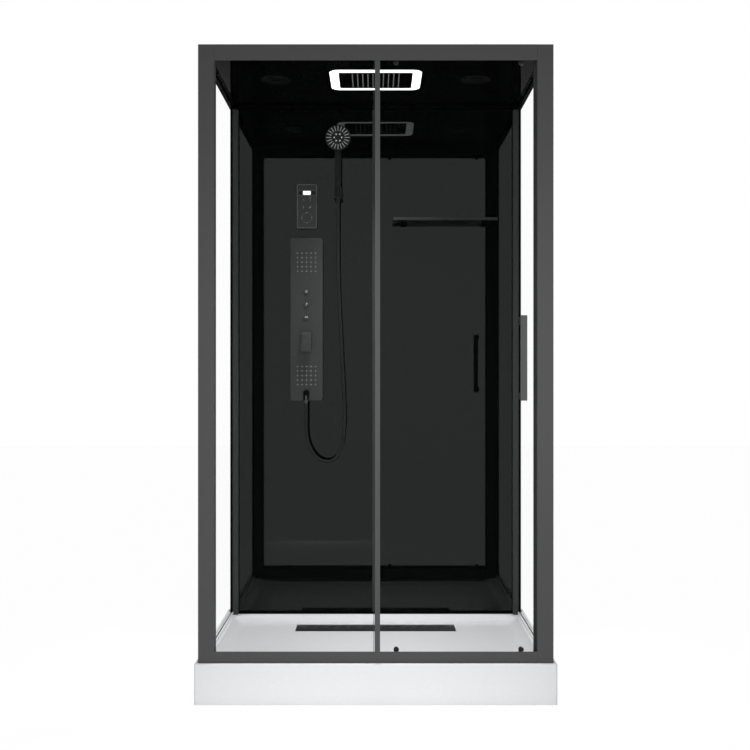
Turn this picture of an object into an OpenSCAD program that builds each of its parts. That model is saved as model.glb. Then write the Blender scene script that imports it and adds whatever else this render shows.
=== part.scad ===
// Hydromassage shower cabin: a white tray on levelling feet, a grey aluminium frame, black glass
// at the back, clear glass on the other sides, a sliding door and a black roof with a rain shower.
// Millimetres. X to the right, Y to the back, Z up. The origin is on the floor under the tray's middle.

/* [Cabin] */
// Width of the tray
tray_w = 1200; // [1100:1:1300]
// Depth of the tray
tray_d = 800; // [780:1:900]
// Height of the frame above the floor
frame_h = 2184; // [2100:1:2300]

/* [Tray] */
// Height of the tray's lip above the floor
tray_h = 138; // [128:1:150]
// Width of the lip round the glass
lip_w = 12; // [8:1:16]
// Height of the lip above the ledge that the walls stand on
lip_step = 16; // [10:1:20]
// Width of the ledge inside the lip
ledge_w = 22; // [18:1:28]
// Depth of the basin below the ledge
basin_deep = 22; // [16:1:26]
// Width of the basin's sloping edge
basin_cove = 45; // [35:1:60]
// Radius of the basin's corners
basin_r = 70; // [60:1:90]
// Thickness of the tray's shell
tray_t = 5; // [4:0.5:7]
// Gap between the apron and the floor
apron_gap = 2; // [1:0.5:6]
// Length of the drain cover
cover_l = 620; // [500:1:640]
// Width of the drain cover
cover_w = 105; // [90:1:112]
// Distance of the drain cover's middle from the tray's back edge
cover_back = 165; // [160:1:200]
// Depth of the gutter under the drain cover
gutter_deep = 14; // [12:1:16]
// Radius of the drain's outlet spigot
spigot_r = 20; // [16:0.5:25]
// Radius of a foot's pad
foot_r = 20; // [15:1:25]
// Radius of a foot's threaded stem
foot_stem_r = 5; // [4:0.5:6]

/* [Frame] */
// Width of the front profiles, seen from the front
profile_w = 53; // [50:1:58]
// Depth of the front profiles
profile_d = 45; // [45:1:50]
// Wall of the front profiles
profile_t = 2.5; // [2:0.1:3]
// Width of the rear corner columns
column_w = 31; // [29:1:36]
// Width of the rear middle column
mid_column_w = 26; // [22:1:32]
// Depth of the rear middle column
mid_column_d = 22; // [18:1:26]
// Width of the upright on the fixed glass's free edge
upright_w = 17.5; // [16:0.5:22]
// Height of the channels that the glass stands in
channel_h = 12; // [10:1:15]
// Height of the side and rear top rails
top_rail_h = 23; // [21:1:26]
// Thickness of the roof panel
roof_t = 5; // [4:1:9]

/* [Glass] */
// Thickness of every pane
glass_t = 5; // [4:0.5:5.5]
// Depth that a pane's edge sits in its profile
glass_in = 8; // [6:0.5:9]
// Gap between a pane and its slot, each side
glass_gap = 0.3; // [0.2:0.05:0.5]

/* [Door] */
// Distance of the handle from the door's closing edge
handle_in = 35; // [25:0.5:45]
// Radius of a door roller
roller_r = 10.2; // [9:0.1:10.5]
// Radius of a roller's axle
axle_r = 3; // [2.5:0.1:3.5]
// Clearance of a roller on its axle
axle_gap = 0.05; // [0.03:0.01:0.1]
// Radius of the round cap on the glass at each roller
cap_r = 9; // [8:0.5:10]
// Length of the door handle
handle_l = 280; // [240:1:400]
// Width of the door handle
handle_w = 21.5; // [16:0.5:24]
// Thickness of the door handle
handle_t = 12; // [9:1:14]
// Gap between the handle and the door's glass
handle_off = 45; // [38:1:52]
// Height of the handle's middle above the floor
handle_z = 1146; // [1000:1:1300]

/* [Shower column] */
// Distance of the shower column left of the middle
column_x = 278; // [260:1:290]
// Width of the shower column
panel_w = 130; // [120:1:140]
// Height of the shower column
panel_h = 655; // [640:1:670]
// Depth of the shower column
panel_d = 34; // [32:1:40]
// Height of the shower column's lower edge above the floor
panel_z = 987; // [950:1:1050]
// Wall of the shower column's cover
panel_t = 3; // [2:0.1:3.5]
// Spacing of the massage jets
jet_pitch = 18.2; // [16:0.1:20]
// Jets in each row and column of a grid
jet_n = 5; // [3:1:5]
// Radius of a massage jet
jet_r = 2.5; // [2:0.1:3.5]
// Radius of a push button
button_r = 11; // [9:0.5:13]
// Spacing of the push buttons
button_pitch = 51.5; // [45:0.5:56]
// Travel of a push button
button_travel = 3; // [2:0.5:3.5]
// Width of the mixer knob
knob_w = 44; // [38:1:50]
// Height of the mixer knob
knob_h = 83; // [80:1:86]
// Radius of the mixer's turning collar
collar_r = 14.7; // [13:0.1:16]
// Radius of the water inlets' half-inch thread
inlet_r = 10.48; // [10.4:0.01:10.6]
// Spacing of the two water inlets
inlet_pitch = 75; // [65:1:85]

/* [Handset] */
// Distance of the handset left of the middle
handset_x = 150; // [145:1:170]
// Height of the handset's lower end above the floor
handset_z = 1798; // [1780:1:1810]
// Radius of the handset's head
head_r = 51; // [45:1:55]
// Thickness of the handset's head
head_t = 20; // [16:1:24]
// Radius of the handset's handle
grip_r = 13.5; // [12:0.5:15]
// Length of the handset's handle
grip_l = 200; // [190:1:215]
// Radius of the shower hose
hose_r = 7; // [6:0.5:7.5]
// Sides of the shower hose's tube
hose_sides = 10; // [8:1:12]

/* [Fittings] */
// Width of the control panel
control_w = 80; // [76:1:90]
// Height of the control panel
control_h = 178; // [170:1:190]
// Depth of the control panel
control_d = 16; // [12:1:20]
// Height of the control panel's middle above the floor
control_z = 1772; // [1750:1:1800]
// Length of the shelf
shelf_l = 415; // [380:1:430]
// Depth of the shelf
shelf_d = 89; // [70:1:100]
// Thickness of the shelf
shelf_t = 12; // [8:1:14]
// Height of the shelf's top above the floor
shelf_z = 1717; // [1600:1:1800]
// Distance of the shelf's middle right of the middle
shelf_x = 277.5; // [265:0.5:290]
// Width of the ceiling light
light_w = 334; // [320:1:345]
// Depth of the ceiling light
light_d = 258; // [245:1:285]
// Width of the ceiling light's glowing band at the sides
light_band = 33; // [26:1:38]
// Width of the glowing band at the front
light_front_band = 34; // [28:1:40]
// Width of the glowing band at the back
light_back_band = 25; // [22:1:36]
// Distance of the ceiling light's middle behind the tray's middle
light_y = 5; // [0:1:30]
// Distance of the fan and of the speaker from the middle
disc_x = 368; // [340:1:400]
// Distance of the fan's and the speaker's middle behind the tray's middle
disc_y = -2; // [-10:1:20]
// Radius of the fan's and the speaker's grille
disc_r = 55; // [50:1:62]
// Strips of nozzles in the rain shower
strip_n = 10; // [6:1:11]
// Spacing of the strips
strip_pitch = 18.9; // [16:0.1:20]

/* [Hidden] */
$fn = 48;
eps = 1;
touch = 0.3;
frame_x = tray_w / 2 - lip_w;
front_y = -tray_d / 2 + lip_w;
back_y = tray_d / 2 - lip_w;
ledge_z = tray_h - lip_step;
floor_z = ledge_z - basin_deep;
under_z = floor_z - tray_t;
basin_x = frame_x - ledge_w;
basin_y = back_y - ledge_w;
post_in_x = frame_x - profile_w;
profile_back_y = front_y + profile_d;
side_in_x = frame_x - 9;
side_out_x = side_in_x + glass_t;
back_glass_y = back_y - 8;
fixed_y = front_y + 5;
door_y = front_y + 20;
column_out_x = side_out_x + 2;
column_in_x = column_out_x - column_w;
column_front_y = back_y - column_w;
channel_w = 14;
rail_w = 12;
rail_z = frame_h - top_rail_h;
roof_in = 5;
roof_z = frame_h - roof_in;
glass_bottom = ledge_z + 2;
pocket_t = 2;
glass_top = roof_z - 3;
shelf_flange = 10;
flange_t = 4;
lower_rail_top = ledge_z + profile_w;
upper_rail_bottom = frame_h - profile_w;
cover_y = tray_d / 2 - cover_back;
foot_in = 80;
foot_x = tray_w / 2 - foot_in;
foot_y = tray_d / 2 - foot_in;
foot_rows = [[-foot_y, [-foot_x, -190, 190, foot_x]], [0, [-355, 0, 355]],
             [foot_y, [-foot_x, -190, 190, foot_x]]];
bar_w = 30;
bar_h = 15;
thread_gap = 0.1;
bar_z = under_z - bar_h;
nut_h = 8;
gutter_z = floor_z - gutter_deep;
gutter_gap = 2;
pipe_way_in = 60;
drain_hole_r = 45;
trap_r = 52;
trap_top = gutter_z - tray_t;
trap_bottom = 28;
spigot_z = 50;
spigot_l = 112;
slit_n = 14;
slit_pitch = 42;
track_in = 31;
track_low = 14;
track_top = 16.5;
wheel_lift = track_top + roller_r + touch;
wheel_front = door_y + 11;
wheel_w = 8;
cap_lift = 2;
upright_x = -3.2;
upright_d = 14.5;
pane_top = frame_h - 30;
door_left = -8;
door_right = post_in_x - 4;
door_bottom = lower_rail_top - 10;
door_top = upper_rail_bottom + 12;
roller_in = [76, 48];
roller_xs = [door_left + roller_in[0], door_right - roller_in[1]];
handle_left = door_right - handle_in - handle_w;
handle_back = door_y - handle_off;
hole_r = 30;
ring_t = 1.5;
light_in_w = light_w - 2 * light_band;
light_in_d = light_d - light_front_band - light_back_band;
light_in_y = light_y + (light_front_band - light_back_band) / 2;
rain_plate_t = 4;
nozzle_w = 3.6;
nozzle_out = 1;
strip_ends = [18, 3];
grille_t = 3;
wall_y = back_glass_y;
panel_front = wall_y - panel_d;
panel_top = panel_z + panel_h;
jet_rise = 101;
jet_drop = 98;
button_rise = 387.5;
knob_rise = 234;
jet_zs = [panel_z + jet_rise, panel_top - jet_drop];
button_z = panel_z + button_rise;
knob_z = panel_z + knob_rise;
collar_out = 5;
valve_front = panel_front + 16;
inlet_shoulder = 1.5;
inlet_out = 17;
tilt_y = panel_front - 1;
grip_off = 56;
grip_y = wall_y - grip_off;
outlet_z = panel_z - 10;
fan_h = 38;
shaft_r = 2;
hook_w = 2 * hose_r + 2;
hook_taper = 0.07;
screw_r = 2.5;
holder_screws = [6, 49];
bracket_x = 165;
bracket_w = 24;
bracket_d = 34;
bracket_h = 14;
bracket_t = 5;
bracket_back = 8;
bracket_screw = (bracket_t + bracket_h) / -2;
cap_zs = [lower_rail_top + cap_lift, upper_rail_bottom - cap_lift];
standoff_zs = [handle_z - handle_l / 2 + 14, handle_z + handle_l / 2 - 14];

// Route of the shower hose from its outlet round the loop and up to the handset
hose_points = [
    [-column_x, grip_y, outlet_z], [-column_x, grip_y, 940], [-column_x, grip_y, 903],
    [-278, grip_y, 866], [-273, grip_y, 832], [-263, grip_y, 801],
    [-247, grip_y, 773], [-226, grip_y, 753], [-199, grip_y, 744],
    [-172, grip_y, 749], [-151, grip_y, 768], [-138, grip_y, 795],
    [-131, grip_y, 827], [-127.5, grip_y, 861], [-125, grip_y, 896],
    [-125, grip_y, 935], [-126, grip_y, 975], [-127, grip_y, 1015],
    [-129, grip_y, 1055], [-131, grip_y, 1095], [-133, grip_y, 1135],
    [-135, grip_y, 1175], [-137, grip_y, 1215], [-139, grip_y, 1255],
    [-141, grip_y, 1295], [-143, grip_y, 1335], [-145, grip_y, 1375],
    [-147, grip_y, 1415], [-148, grip_y, 1455], [-149, grip_y, 1495],
    [-150, grip_y, 1535], [-150, grip_y, 1575], [-150, grip_y, 1615],
    [-150, grip_y, 1655], [-150, grip_y, 1690], [-150, grip_y, 1725],
    [-handset_x, grip_y, 1760], [-handset_x, grip_y, handset_z]
];

frame_colour = "#4a4a4c";
black = "#0d0d0e";

// A box from its lowest to its highest corner
module box(x0, x1, y0, y1, z0, z1) {
    translate([x0, y0, z0])
        cube([x1 - x0, y1 - y0, z1 - z0]);
}

// A round bar along Y
module rod_y(r, y0, y1) {
    translate([0, y0, 0])
        rotate([-90, 0, 0])
            cylinder(r = r, h = y1 - y0);
}

// A round bar along X
module rod_x(r, x0, x1) {
    translate([x0, 0, 0])
        rotate([0, 90, 0])
            cylinder(r = r, h = x1 - x0);
}

// The children and their mirror image on the left
module both_sides() {
    children();
    mirror([1, 0, 0])
        children();
}

// A flat plate with round corners, centred on the Z axis
module round_plate(w, d, r, z0, z1) {
    box(-w / 2 + r, w / 2 - r, -d / 2, d / 2, z0, z1);
    box(-w / 2, w / 2, -d / 2 + r, d / 2 - r, z0, z1);
    for (sx = [-1, 1], sy = [-1, 1])
        translate([sx * (w / 2 - r), sy * (d / 2 - r), z0])
            cylinder(r = r, h = z1 - z0);
}

// A flat plate with round corners, upright, centred on the Y axis
module wall_plate(w, h, r, y0, y1) {
    translate([0, y1, 0])
        rotate([90, 0, 0])
            round_plate(w, h, r, 0, y1 - y0);
}

// The basin's hollow, with a sloping edge that meets the floor softly
module basin() {
    levels = [[0, -0.1], [0, 0], [0.18, 0.6], [0.5, 0.9], [1, 1]];
    hull()
        for (level = levels) {
            r = basin_r * (1 - 0.6 * level[0]);
            inset = basin_cove * level[0];
            for (sx = [-1, 1], sy = [-1, 1])
                translate([sx * (basin_x - inset - r), sy * (basin_y - inset - r),
                    ledge_z - basin_deep * level[1]])
                    cylinder(r = r, h = 0.01, $fn = 32);
        }
}

module shower_tray() {
    color("white")
        difference() {
            union() {
                difference() {
                    box(-tray_w / 2, tray_w / 2, -tray_d / 2, tray_d / 2, apron_gap, tray_h);
                    box(-tray_w / 2 + tray_t, tray_w / 2 - tray_t, -tray_d / 2 + tray_t,
                        tray_d / 2 - tray_t, 0, under_z);
                    box(-tray_w / 2 + pipe_way_in, tray_w / 2 - pipe_way_in, tray_d / 2 - tray_t - eps,
                        tray_d / 2 + eps, 0, bar_z);
                }
                translate([0, cover_y, 0])
                    box(-cover_l / 2 - gutter_gap - tray_t, cover_l / 2 + gutter_gap + tray_t,
                        -cover_w / 2 - gutter_gap - tray_t, cover_w / 2 + gutter_gap + tray_t, trap_top,
                        under_z + eps);
            }
            box(-frame_x - touch, frame_x + touch, -back_y - touch, back_y + touch, ledge_z, tray_h + eps);
            basin();
            translate([0, cover_y, 0]) {
                box(-cover_l / 2 - gutter_gap, cover_l / 2 + gutter_gap,
                    -cover_w / 2 - gutter_gap, cover_w / 2 + gutter_gap, gutter_z, floor_z + eps);
                translate([0, 0, trap_top - eps])
                    cylinder(r = drain_hole_r, h = tray_t + 2 * eps);
            }
        }
}

module tray_frame() {
    color("silver")
        for (row = foot_rows)
            difference() {
                box(-tray_w / 2 + 40, tray_w / 2 - 40, row[0] - bar_w / 2, row[0] + bar_w / 2, bar_z,
                    under_z);
                for (x = row[1])
                    translate([x, row[0], bar_z - eps])
                        cylinder(r = foot_stem_r + thread_gap, h = bar_h + 2 * eps);
            }
}

module foot() {
    pad_h = 8;
    cylinder(r = foot_r, h = pad_h);
    translate([0, 0, pad_h])
        cylinder(r = foot_stem_r + 4, h = 6);
    cylinder(r = foot_stem_r, h = under_z - 2);
}

module foot_nut() {
    difference() {
        cylinder(r = foot_stem_r * 1.9, h = nut_h, $fn = 6);
        translate([0, 0, -eps])
            cylinder(r = foot_stem_r + thread_gap, h = nut_h + 2 * eps);
    }
}

module tray_feet() {
    color("dimgray")
        for (row = foot_rows, x = row[1])
            translate([x, row[0], 0]) {
                foot();
                translate([0, 0, bar_z - nut_h])
                    foot_nut();
            }
}

module drain_trap() {
    wall = 3;
    flange_w = 8;
    collar_t = 2;
    color("dimgray")
        translate([0, cover_y, 0])
            difference() {
                union() {
                    translate([0, 0, trap_bottom])
                        cylinder(r = trap_r, h = trap_top - trap_bottom);
                    translate([0, 0, trap_top - flange_t])
                        cylinder(r = trap_r + flange_w, h = flange_t);
                    translate([0, 0, spigot_z]) {
                        rod_y(spigot_r + collar_t, 0, trap_r + flange_w + 4);
                        rod_y(spigot_r, 0, spigot_l);
                    }
                }
                translate([0, 0, trap_bottom + wall])
                    cylinder(r = trap_r - wall, h = trap_top - trap_bottom);
                translate([0, 0, spigot_z])
                    rod_y(spigot_r - wall, 0, spigot_l + eps);
            }
}

module drain_cover() {
    plate_t = 4;
    color("#26282a")
        translate([0, cover_y, 0])
            difference() {
                box(-cover_l / 2, cover_l / 2, -cover_w / 2, cover_w / 2, gutter_z + touch, floor_z);
                box(-cover_l / 2 + plate_t, cover_l / 2 - plate_t, -cover_w / 2 + plate_t,
                    cover_w / 2 - plate_t, gutter_z, floor_z - plate_t);
                for (i = [0 : slit_n - 1])
                    translate([(i - (slit_n - 1) / 2) * slit_pitch, cover_w / 5, floor_z - plate_t - eps])
                        rotate([0, 0, 34])
                            translate([-17, -2.5, 0])
                                cube([34, 5, plate_t + 2 * eps]);
            }
}

// Upright tube of the front frame, on the right, with a pocket for the side pane
module front_post() {
    difference() {
        union() {
            difference() {
                box(post_in_x, frame_x, front_y, profile_back_y, ledge_z, frame_h);
                box(post_in_x + profile_t, frame_x - profile_t, front_y + profile_t,
                    profile_back_y - profile_t, ledge_z - eps, frame_h - profile_t);
            }
            box(side_in_x - glass_gap - pocket_t, frame_x - eps,
                profile_back_y - glass_in - glass_gap - pocket_t,
                profile_back_y - eps, ledge_z, frame_h - eps);
        }
        box(side_in_x - glass_gap, side_out_x + glass_gap, profile_back_y - glass_in - glass_gap,
            profile_back_y + eps, ledge_z - eps, glass_top + glass_gap);
    }
}

// The left post has a second pocket, for the fixed pane
module front_post_left() {
    color(frame_colour)
        difference() {
            union() {
                mirror([1, 0, 0])
                    front_post();
                box(-post_in_x - glass_in - glass_gap - pocket_t, -post_in_x - eps, front_y + eps,
                    fixed_y + glass_t + glass_gap + pocket_t, ledge_z, frame_h - eps);
            }
            box(-post_in_x - glass_in - glass_gap, -post_in_x + eps, fixed_y - glass_gap,
                fixed_y + glass_t + glass_gap, ledge_z - eps, pane_top + glass_gap);
        }
}

module front_post_right() {
    color(frame_colour)
        front_post();
}

// Section of the front rails, from the open edge at 0 to the web at profile_w
module rail_section() {
    translate([0, 0])
        square([profile_t, profile_w]);
    translate([0, profile_w - profile_t])
        square([profile_d, profile_t]);
    translate([profile_d - profile_t, track_low])
        square([profile_t, profile_w - track_low]);
    translate([track_in, track_low])
        square([profile_d - track_in, track_top - track_low]);
    translate([12, 18])
        square([1.5, profile_w - 18]);
}

module front_rail() {
    translate([-post_in_x, front_y, 0])
        rotate([90, 0, 90])
            linear_extrude(2 * post_in_x)
                rail_section();
}

module front_top_rail() {
    color(frame_colour) {
        translate([0, 0, upper_rail_bottom])
            front_rail();
        box(-post_in_x, post_in_x, profile_back_y - eps, profile_back_y + shelf_flange, roof_z - flange_t,
            roof_z);
    }
}

module front_bottom_rail() {
    color(frame_colour)
        translate([0, 0, lower_rail_top])
            mirror([0, 0, 1])
                front_rail();
}

module side_top_rails() {
    color(frame_colour)
        both_sides() {
            difference() {
                box(frame_x - rail_w, frame_x, profile_back_y, back_y - rail_w, rail_z, frame_h);
                box(side_in_x - glass_gap, side_out_x + glass_gap, profile_back_y - eps, back_y, rail_z - eps,
                    glass_top + glass_gap);
            }
            box(frame_x - rail_w - shelf_flange, frame_x - rail_w + eps, profile_back_y, back_y - rail_w,
                roof_z - flange_t, roof_z);
        }
}

module rear_top_rail() {
    color(frame_colour) {
        difference() {
            box(-frame_x, frame_x, back_y - rail_w, back_y, rail_z, frame_h);
            box(-column_in_x - glass_in, column_in_x + glass_in, back_glass_y - glass_gap,
                back_glass_y + glass_t + glass_gap, rail_z - eps, glass_top + glass_gap);
        }
        box(-frame_x + rail_w + shelf_flange, frame_x - rail_w - shelf_flange,
            back_y - rail_w - shelf_flange, back_y - rail_w + eps, roof_z - flange_t, roof_z);
    }
}

module glass_channels() {
    color(frame_colour) {
        both_sides()
            difference() {
                box(frame_x - channel_w, frame_x, profile_back_y, column_front_y, ledge_z,
                    ledge_z + channel_h);
                box(side_in_x - glass_gap, side_out_x + glass_gap, profile_back_y - eps, column_front_y + eps,
                    glass_bottom, ledge_z + channel_h + eps);
            }
        difference() {
            box(-column_in_x, column_in_x, back_y - channel_w, back_y, ledge_z, ledge_z + channel_h);
            box(-column_in_x - eps, column_in_x + eps, back_glass_y - glass_gap,
                back_glass_y + glass_t + glass_gap, glass_bottom, ledge_z + channel_h + eps);
        }
    }
}

// Square column in the rear corner, on the right, with a slot for each pane and a hollow between them
module rear_column() {
    wall = 2;
    difference() {
        box(column_in_x, column_out_x, column_front_y, back_y, ledge_z, rail_z);
        box(column_in_x + wall, side_in_x - glass_gap - wall, column_front_y + wall,
            back_glass_y - glass_gap - wall, ledge_z - eps, rail_z + eps);
        box(side_in_x - glass_gap, side_out_x + glass_gap, column_front_y - eps,
            column_front_y + glass_in + glass_gap, ledge_z - eps, rail_z + eps);
        box(column_in_x - eps, column_in_x + glass_in + glass_gap, back_glass_y - glass_gap,
            back_glass_y + glass_t + glass_gap, ledge_z - eps, rail_z + eps);
    }
}

module rear_column_left() {
    color(frame_colour)
        mirror([1, 0, 0])
            rear_column();
}

module rear_column_right() {
    color(frame_colour)
        rear_column();
}

module rear_middle_column() {
    color(frame_colour)
        difference() {
            box(-mid_column_w / 2, mid_column_w / 2, back_y - mid_column_d, back_y, ledge_z + channel_h,
                rail_z);
            both_sides()
                box(mid_column_w / 2 - glass_in, mid_column_w / 2 + eps, back_glass_y - glass_gap,
                    back_glass_y + glass_t + glass_gap, ledge_z, rail_z + eps);
        }
}

module fixed_glass_upright() {
    color("#58585a")
        difference() {
            box(upright_x, upright_x + upright_w, front_y, front_y + upright_d, lower_rail_top,
                upper_rail_bottom);
            box(upright_x - eps, upright_x + glass_in, fixed_y - glass_gap, fixed_y + glass_t + glass_gap,
                lower_rail_top - eps, upper_rail_bottom + eps);
        }
}

module fixed_glass() {
    color("#c8d4d2", 0.25)
        box(-post_in_x - glass_in, upright_x + glass_in - glass_gap, fixed_y, fixed_y + glass_t,
            ledge_z + profile_t, pane_top);
}

module side_glass() {
    color("#c8d4d2", 0.25)
        box(side_in_x, side_out_x, profile_back_y - glass_in, column_front_y + glass_in, glass_bottom,
            glass_top);
}

module side_glass_left() {
    mirror([1, 0, 0])
        side_glass();
}

module side_glass_right() {
    side_glass();
}

// A black pane at the back, on the right
module back_glass() {
    box(mid_column_w / 2 - glass_in + glass_gap, column_in_x + glass_in, back_glass_y, back_glass_y + glass_t,
        glass_bottom, glass_top);
}

module back_glass_left() {
    color(black)
        difference() {
            mirror([1, 0, 0])
                back_glass();
            for (sx = [-1, 1])
                translate([-column_x + sx * inlet_pitch / 2, 0, knob_z])
                    rod_y(inlet_r + inlet_shoulder + 0.5, back_glass_y - eps, back_y);
            wall_screw_places()
                rod_y(screw_r + thread_gap, back_glass_y - 3, back_y + 3);
        }
}

module back_glass_right() {
    color(black)
        difference() {
            back_glass();
            wall_screw_places()
                rod_y(screw_r + thread_gap, back_glass_y - 3, back_y + 3);
        }
}

module roof_panel() {
    hole_w = light_w - 10;
    hole_d = light_d - 10;
    color(black)
        difference() {
            box(-frame_x + rail_w + touch, frame_x - rail_w - touch, profile_back_y + touch,
                back_y - rail_w - touch, roof_z, roof_z + roof_t);
            translate([0, light_y, 0])
                round_plate(hole_w, hole_d, hole_r, roof_z - eps, roof_z + roof_t + eps);
            both_sides()
                translate([disc_x, disc_y, roof_z - eps])
                    cylinder(r = disc_r - 5, h = roof_t + 2 * eps);
        }
}

module light_ring() {
    neck_w = light_w - 10 - 2 * touch;
    neck_d = light_d - 10 - 2 * touch;
    neck_t = 5;
    inner_r = 8;
    color("white")
        difference() {
            translate([0, light_y, roof_z]) {
                round_plate(light_w, light_d, hole_r + 5, -ring_t, 0);
                round_plate(neck_w, neck_d, hole_r, -eps, roof_t);
            }
            translate([0, light_y, roof_z])
                round_plate(neck_w - 2 * neck_t, neck_d - 2 * neck_t, hole_r - neck_t, 0, roof_t + eps);
            translate([0, light_in_y, roof_z])
                round_plate(light_in_w, light_in_d, inner_r, -ring_t - eps, eps);
        }
}

// One strip of the rain shower, with some room round it
module rain_strips(room, z0, z1) {
    for (i = [0 : strip_n - 1])
        translate([(i - (strip_n - 1) / 2) * strip_pitch, 0, 0])
            box(-nozzle_w / 2 - room, nozzle_w / 2 + room, -light_in_d / 2 + strip_ends[0] - room,
                light_in_d / 2 - strip_ends[1] + room, z0, z1);
}

module rain_plate() {
    rim = 6;
    color(black)
        translate([0, light_in_y, roof_z])
            difference() {
                round_plate(light_in_w + 2 * rim, light_in_d + 2 * rim, hole_r - 10, 0, rain_plate_t);
                rain_strips(0.1, -eps, rain_plate_t + eps);
            }
}

module rain_nozzles() {
    color("gray")
        translate([0, light_in_y, roof_z])
            rain_strips(0, -nozzle_out, rain_plate_t);
}

module rain_feed() {
    tank_h = 18;
    wall = 4;
    pipe_r = 9;
    pipe_wall = 2;
    pipe_z = tank_h + 2;
    pipe_out = 20;
    color("dimgray")
        translate([0, light_in_y, roof_z + rain_plate_t])
            difference() {
                union() {
                    round_plate(light_in_w + 2 * wall, light_in_d + 2 * wall, hole_r - 12, 0, tank_h);
                    translate([0, 0, tank_h - eps])
                        cylinder(r = pipe_r + 4, h = 12);
                    translate([0, 0, pipe_z])
                        rod_y(pipe_r, 0, light_in_d / 2 + pipe_out);
                }
                round_plate(light_in_w, light_in_d, hole_r - 16, -eps, tank_h - wall);
                translate([0, 0, pipe_z])
                    rod_y(pipe_r - pipe_wall, 0, light_in_d / 2 + pipe_out + eps);
                translate([0, 0, tank_h - wall - eps])
                    cylinder(r = pipe_r - pipe_wall, h = pipe_z - tank_h + wall + eps);
            }
}

// Round ceiling grille with three rings of gaps, held together by four spokes
module ceiling_grille() {
    translate([0, disc_y, roof_z - grille_t])
        difference() {
            cylinder(r = disc_r, h = grille_t);
            for (r = [14, 24, 34])
                difference() {
                    translate([0, 0, -eps])
                        cylinder(r = r + 5, h = grille_t + 2 * eps);
                    translate([0, 0, -2 * eps])
                        cylinder(r = r, h = grille_t + 4 * eps);
                    for (turn = [0, 90])
                        rotate([0, 0, turn])
                            box(-disc_r, disc_r, -2.5, 2.5, -eps, grille_t + eps);
                }
        }
}

module fan_grille() {
    color(black)
        translate([-disc_x, 0, 0])
            ceiling_grille();
}

module speaker_grille() {
    color(black)
        translate([disc_x, 0, 0])
            ceiling_grille();
}

module fan_housing() {
    wall = 3;
    out_r = disc_r - 5.2;
    color("dimgray")
        translate([-disc_x, disc_y, roof_z]) {
            difference() {
                cylinder(r = out_r, h = fan_h);
                translate([0, 0, -eps])
                    cylinder(r = out_r - wall, h = fan_h - wall + eps);
                for (turn = [0 : 45 : 135])
                    rotate([0, 0, turn])
                        for (side = [-1, 1])
                            translate([side * 30, 0, fan_h - wall - eps])
                                cylinder(r = 8, h = wall + 2 * eps);
            }
            translate([0, 0, fan_h - wall - 14])
                cylinder(r = 13, h = 14 + eps);
            translate([0, 0, 6])
                cylinder(r = shaft_r, h = fan_h - wall - 6);
        }
}

module fan_impeller() {
    hub_r = 13;
    blade_r = 40;
    blade_h = 11;
    color("gray")
        translate([-disc_x, disc_y, roof_z + 8])
            difference() {
                union() {
                    cylinder(r = hub_r, h = blade_h);
                    for (turn = [0 : 60 : 300])
                        rotate([0, 0, turn])
                            translate([hub_r - 3, 0, blade_h / 2])
                                rotate([35, 0, 0])
                                    translate([0, -6, -1])
                                        cube([blade_r - hub_r + 3, 12, 2]);
                }
                translate([0, 0, -eps])
                    cylinder(r = shaft_r + axle_gap, h = blade_h + 2 * eps);
            }
}

module speaker_driver() {
    basket_r = disc_r - 5.2;
    color("dimgray")
        translate([disc_x, disc_y, roof_z])
            rotate_extrude()
                polygon([[0, 8], [14, 8], [basket_r - 8, 0], [basket_r, 0], [basket_r, roof_t + 2],
                         [20, 26], [20, 38], [0, 38]]);
}

module power_box() {
    box_z = roof_z + roof_t;
    box_w = 160;
    box_d = 100;
    box_h = 38;
    nut_r = 9;
    gland_r = 6;
    box_x = 230;
    box_in = 158;
    color("dimgray")
        translate([box_x, back_y - box_in, box_z]) {
            box(-box_w / 2, box_w / 2, -box_d / 2, box_d / 2, 0, box_h);
            translate([0, box_d / 2, box_h / 2]) {
                rod_y(nut_r, -eps, nut_r * 0.7);
                rod_y(gland_r, -eps, nut_r * 1.8);
            }
        }
}

// The places of one grid of jets, on the cover's face
module jet_grid() {
    for (i = [0 : jet_n - 1], k = [0 : jet_n - 1])
        translate([(i - (jet_n - 1) / 2) * jet_pitch, 0, (k - (jet_n - 1) / 2) * jet_pitch])
            children();
}

module column_cover() {
    color("#3c3e40")
        translate([-column_x, 0, 0])
            difference() {
                translate([0, 0, panel_z + panel_h / 2])
                    wall_plate(panel_w, panel_h, 10, panel_front, wall_y);
                box(-panel_w / 2 + panel_t, panel_w / 2 - panel_t, panel_front + panel_t, wall_y + eps,
                    panel_z + panel_t + 30, panel_top - panel_t);
                for (z = jet_zs)
                    translate([0, 0, z])
                        jet_grid()
                            rod_y(jet_r + 0.1, panel_front - eps, panel_front + panel_t + eps);
                for (i = [-1 : 1])
                    translate([0, 0, button_z + i * button_pitch])
                        rod_y(button_r + touch, panel_front - eps, panel_front + panel_t + eps);
                translate([0, 0, knob_z])
                    rod_y(collar_r + touch, panel_front - eps, panel_front + panel_t + eps);
            }
}

// A soft pad behind each grid's holes, with the jets that show through them
module jet_pads() {
    pad = (jet_n - 1) * jet_pitch + 13;
    color("gray")
        for (z = jet_zs)
            translate([-column_x, 0, z]) {
                jet_grid()
                    rod_y(jet_r, panel_front - 1.5, panel_front + panel_t + eps);
                box(-pad / 2, pad / 2, panel_front + panel_t, panel_front + panel_t + 3, -pad / 2, pad / 2);
            }
}

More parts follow.
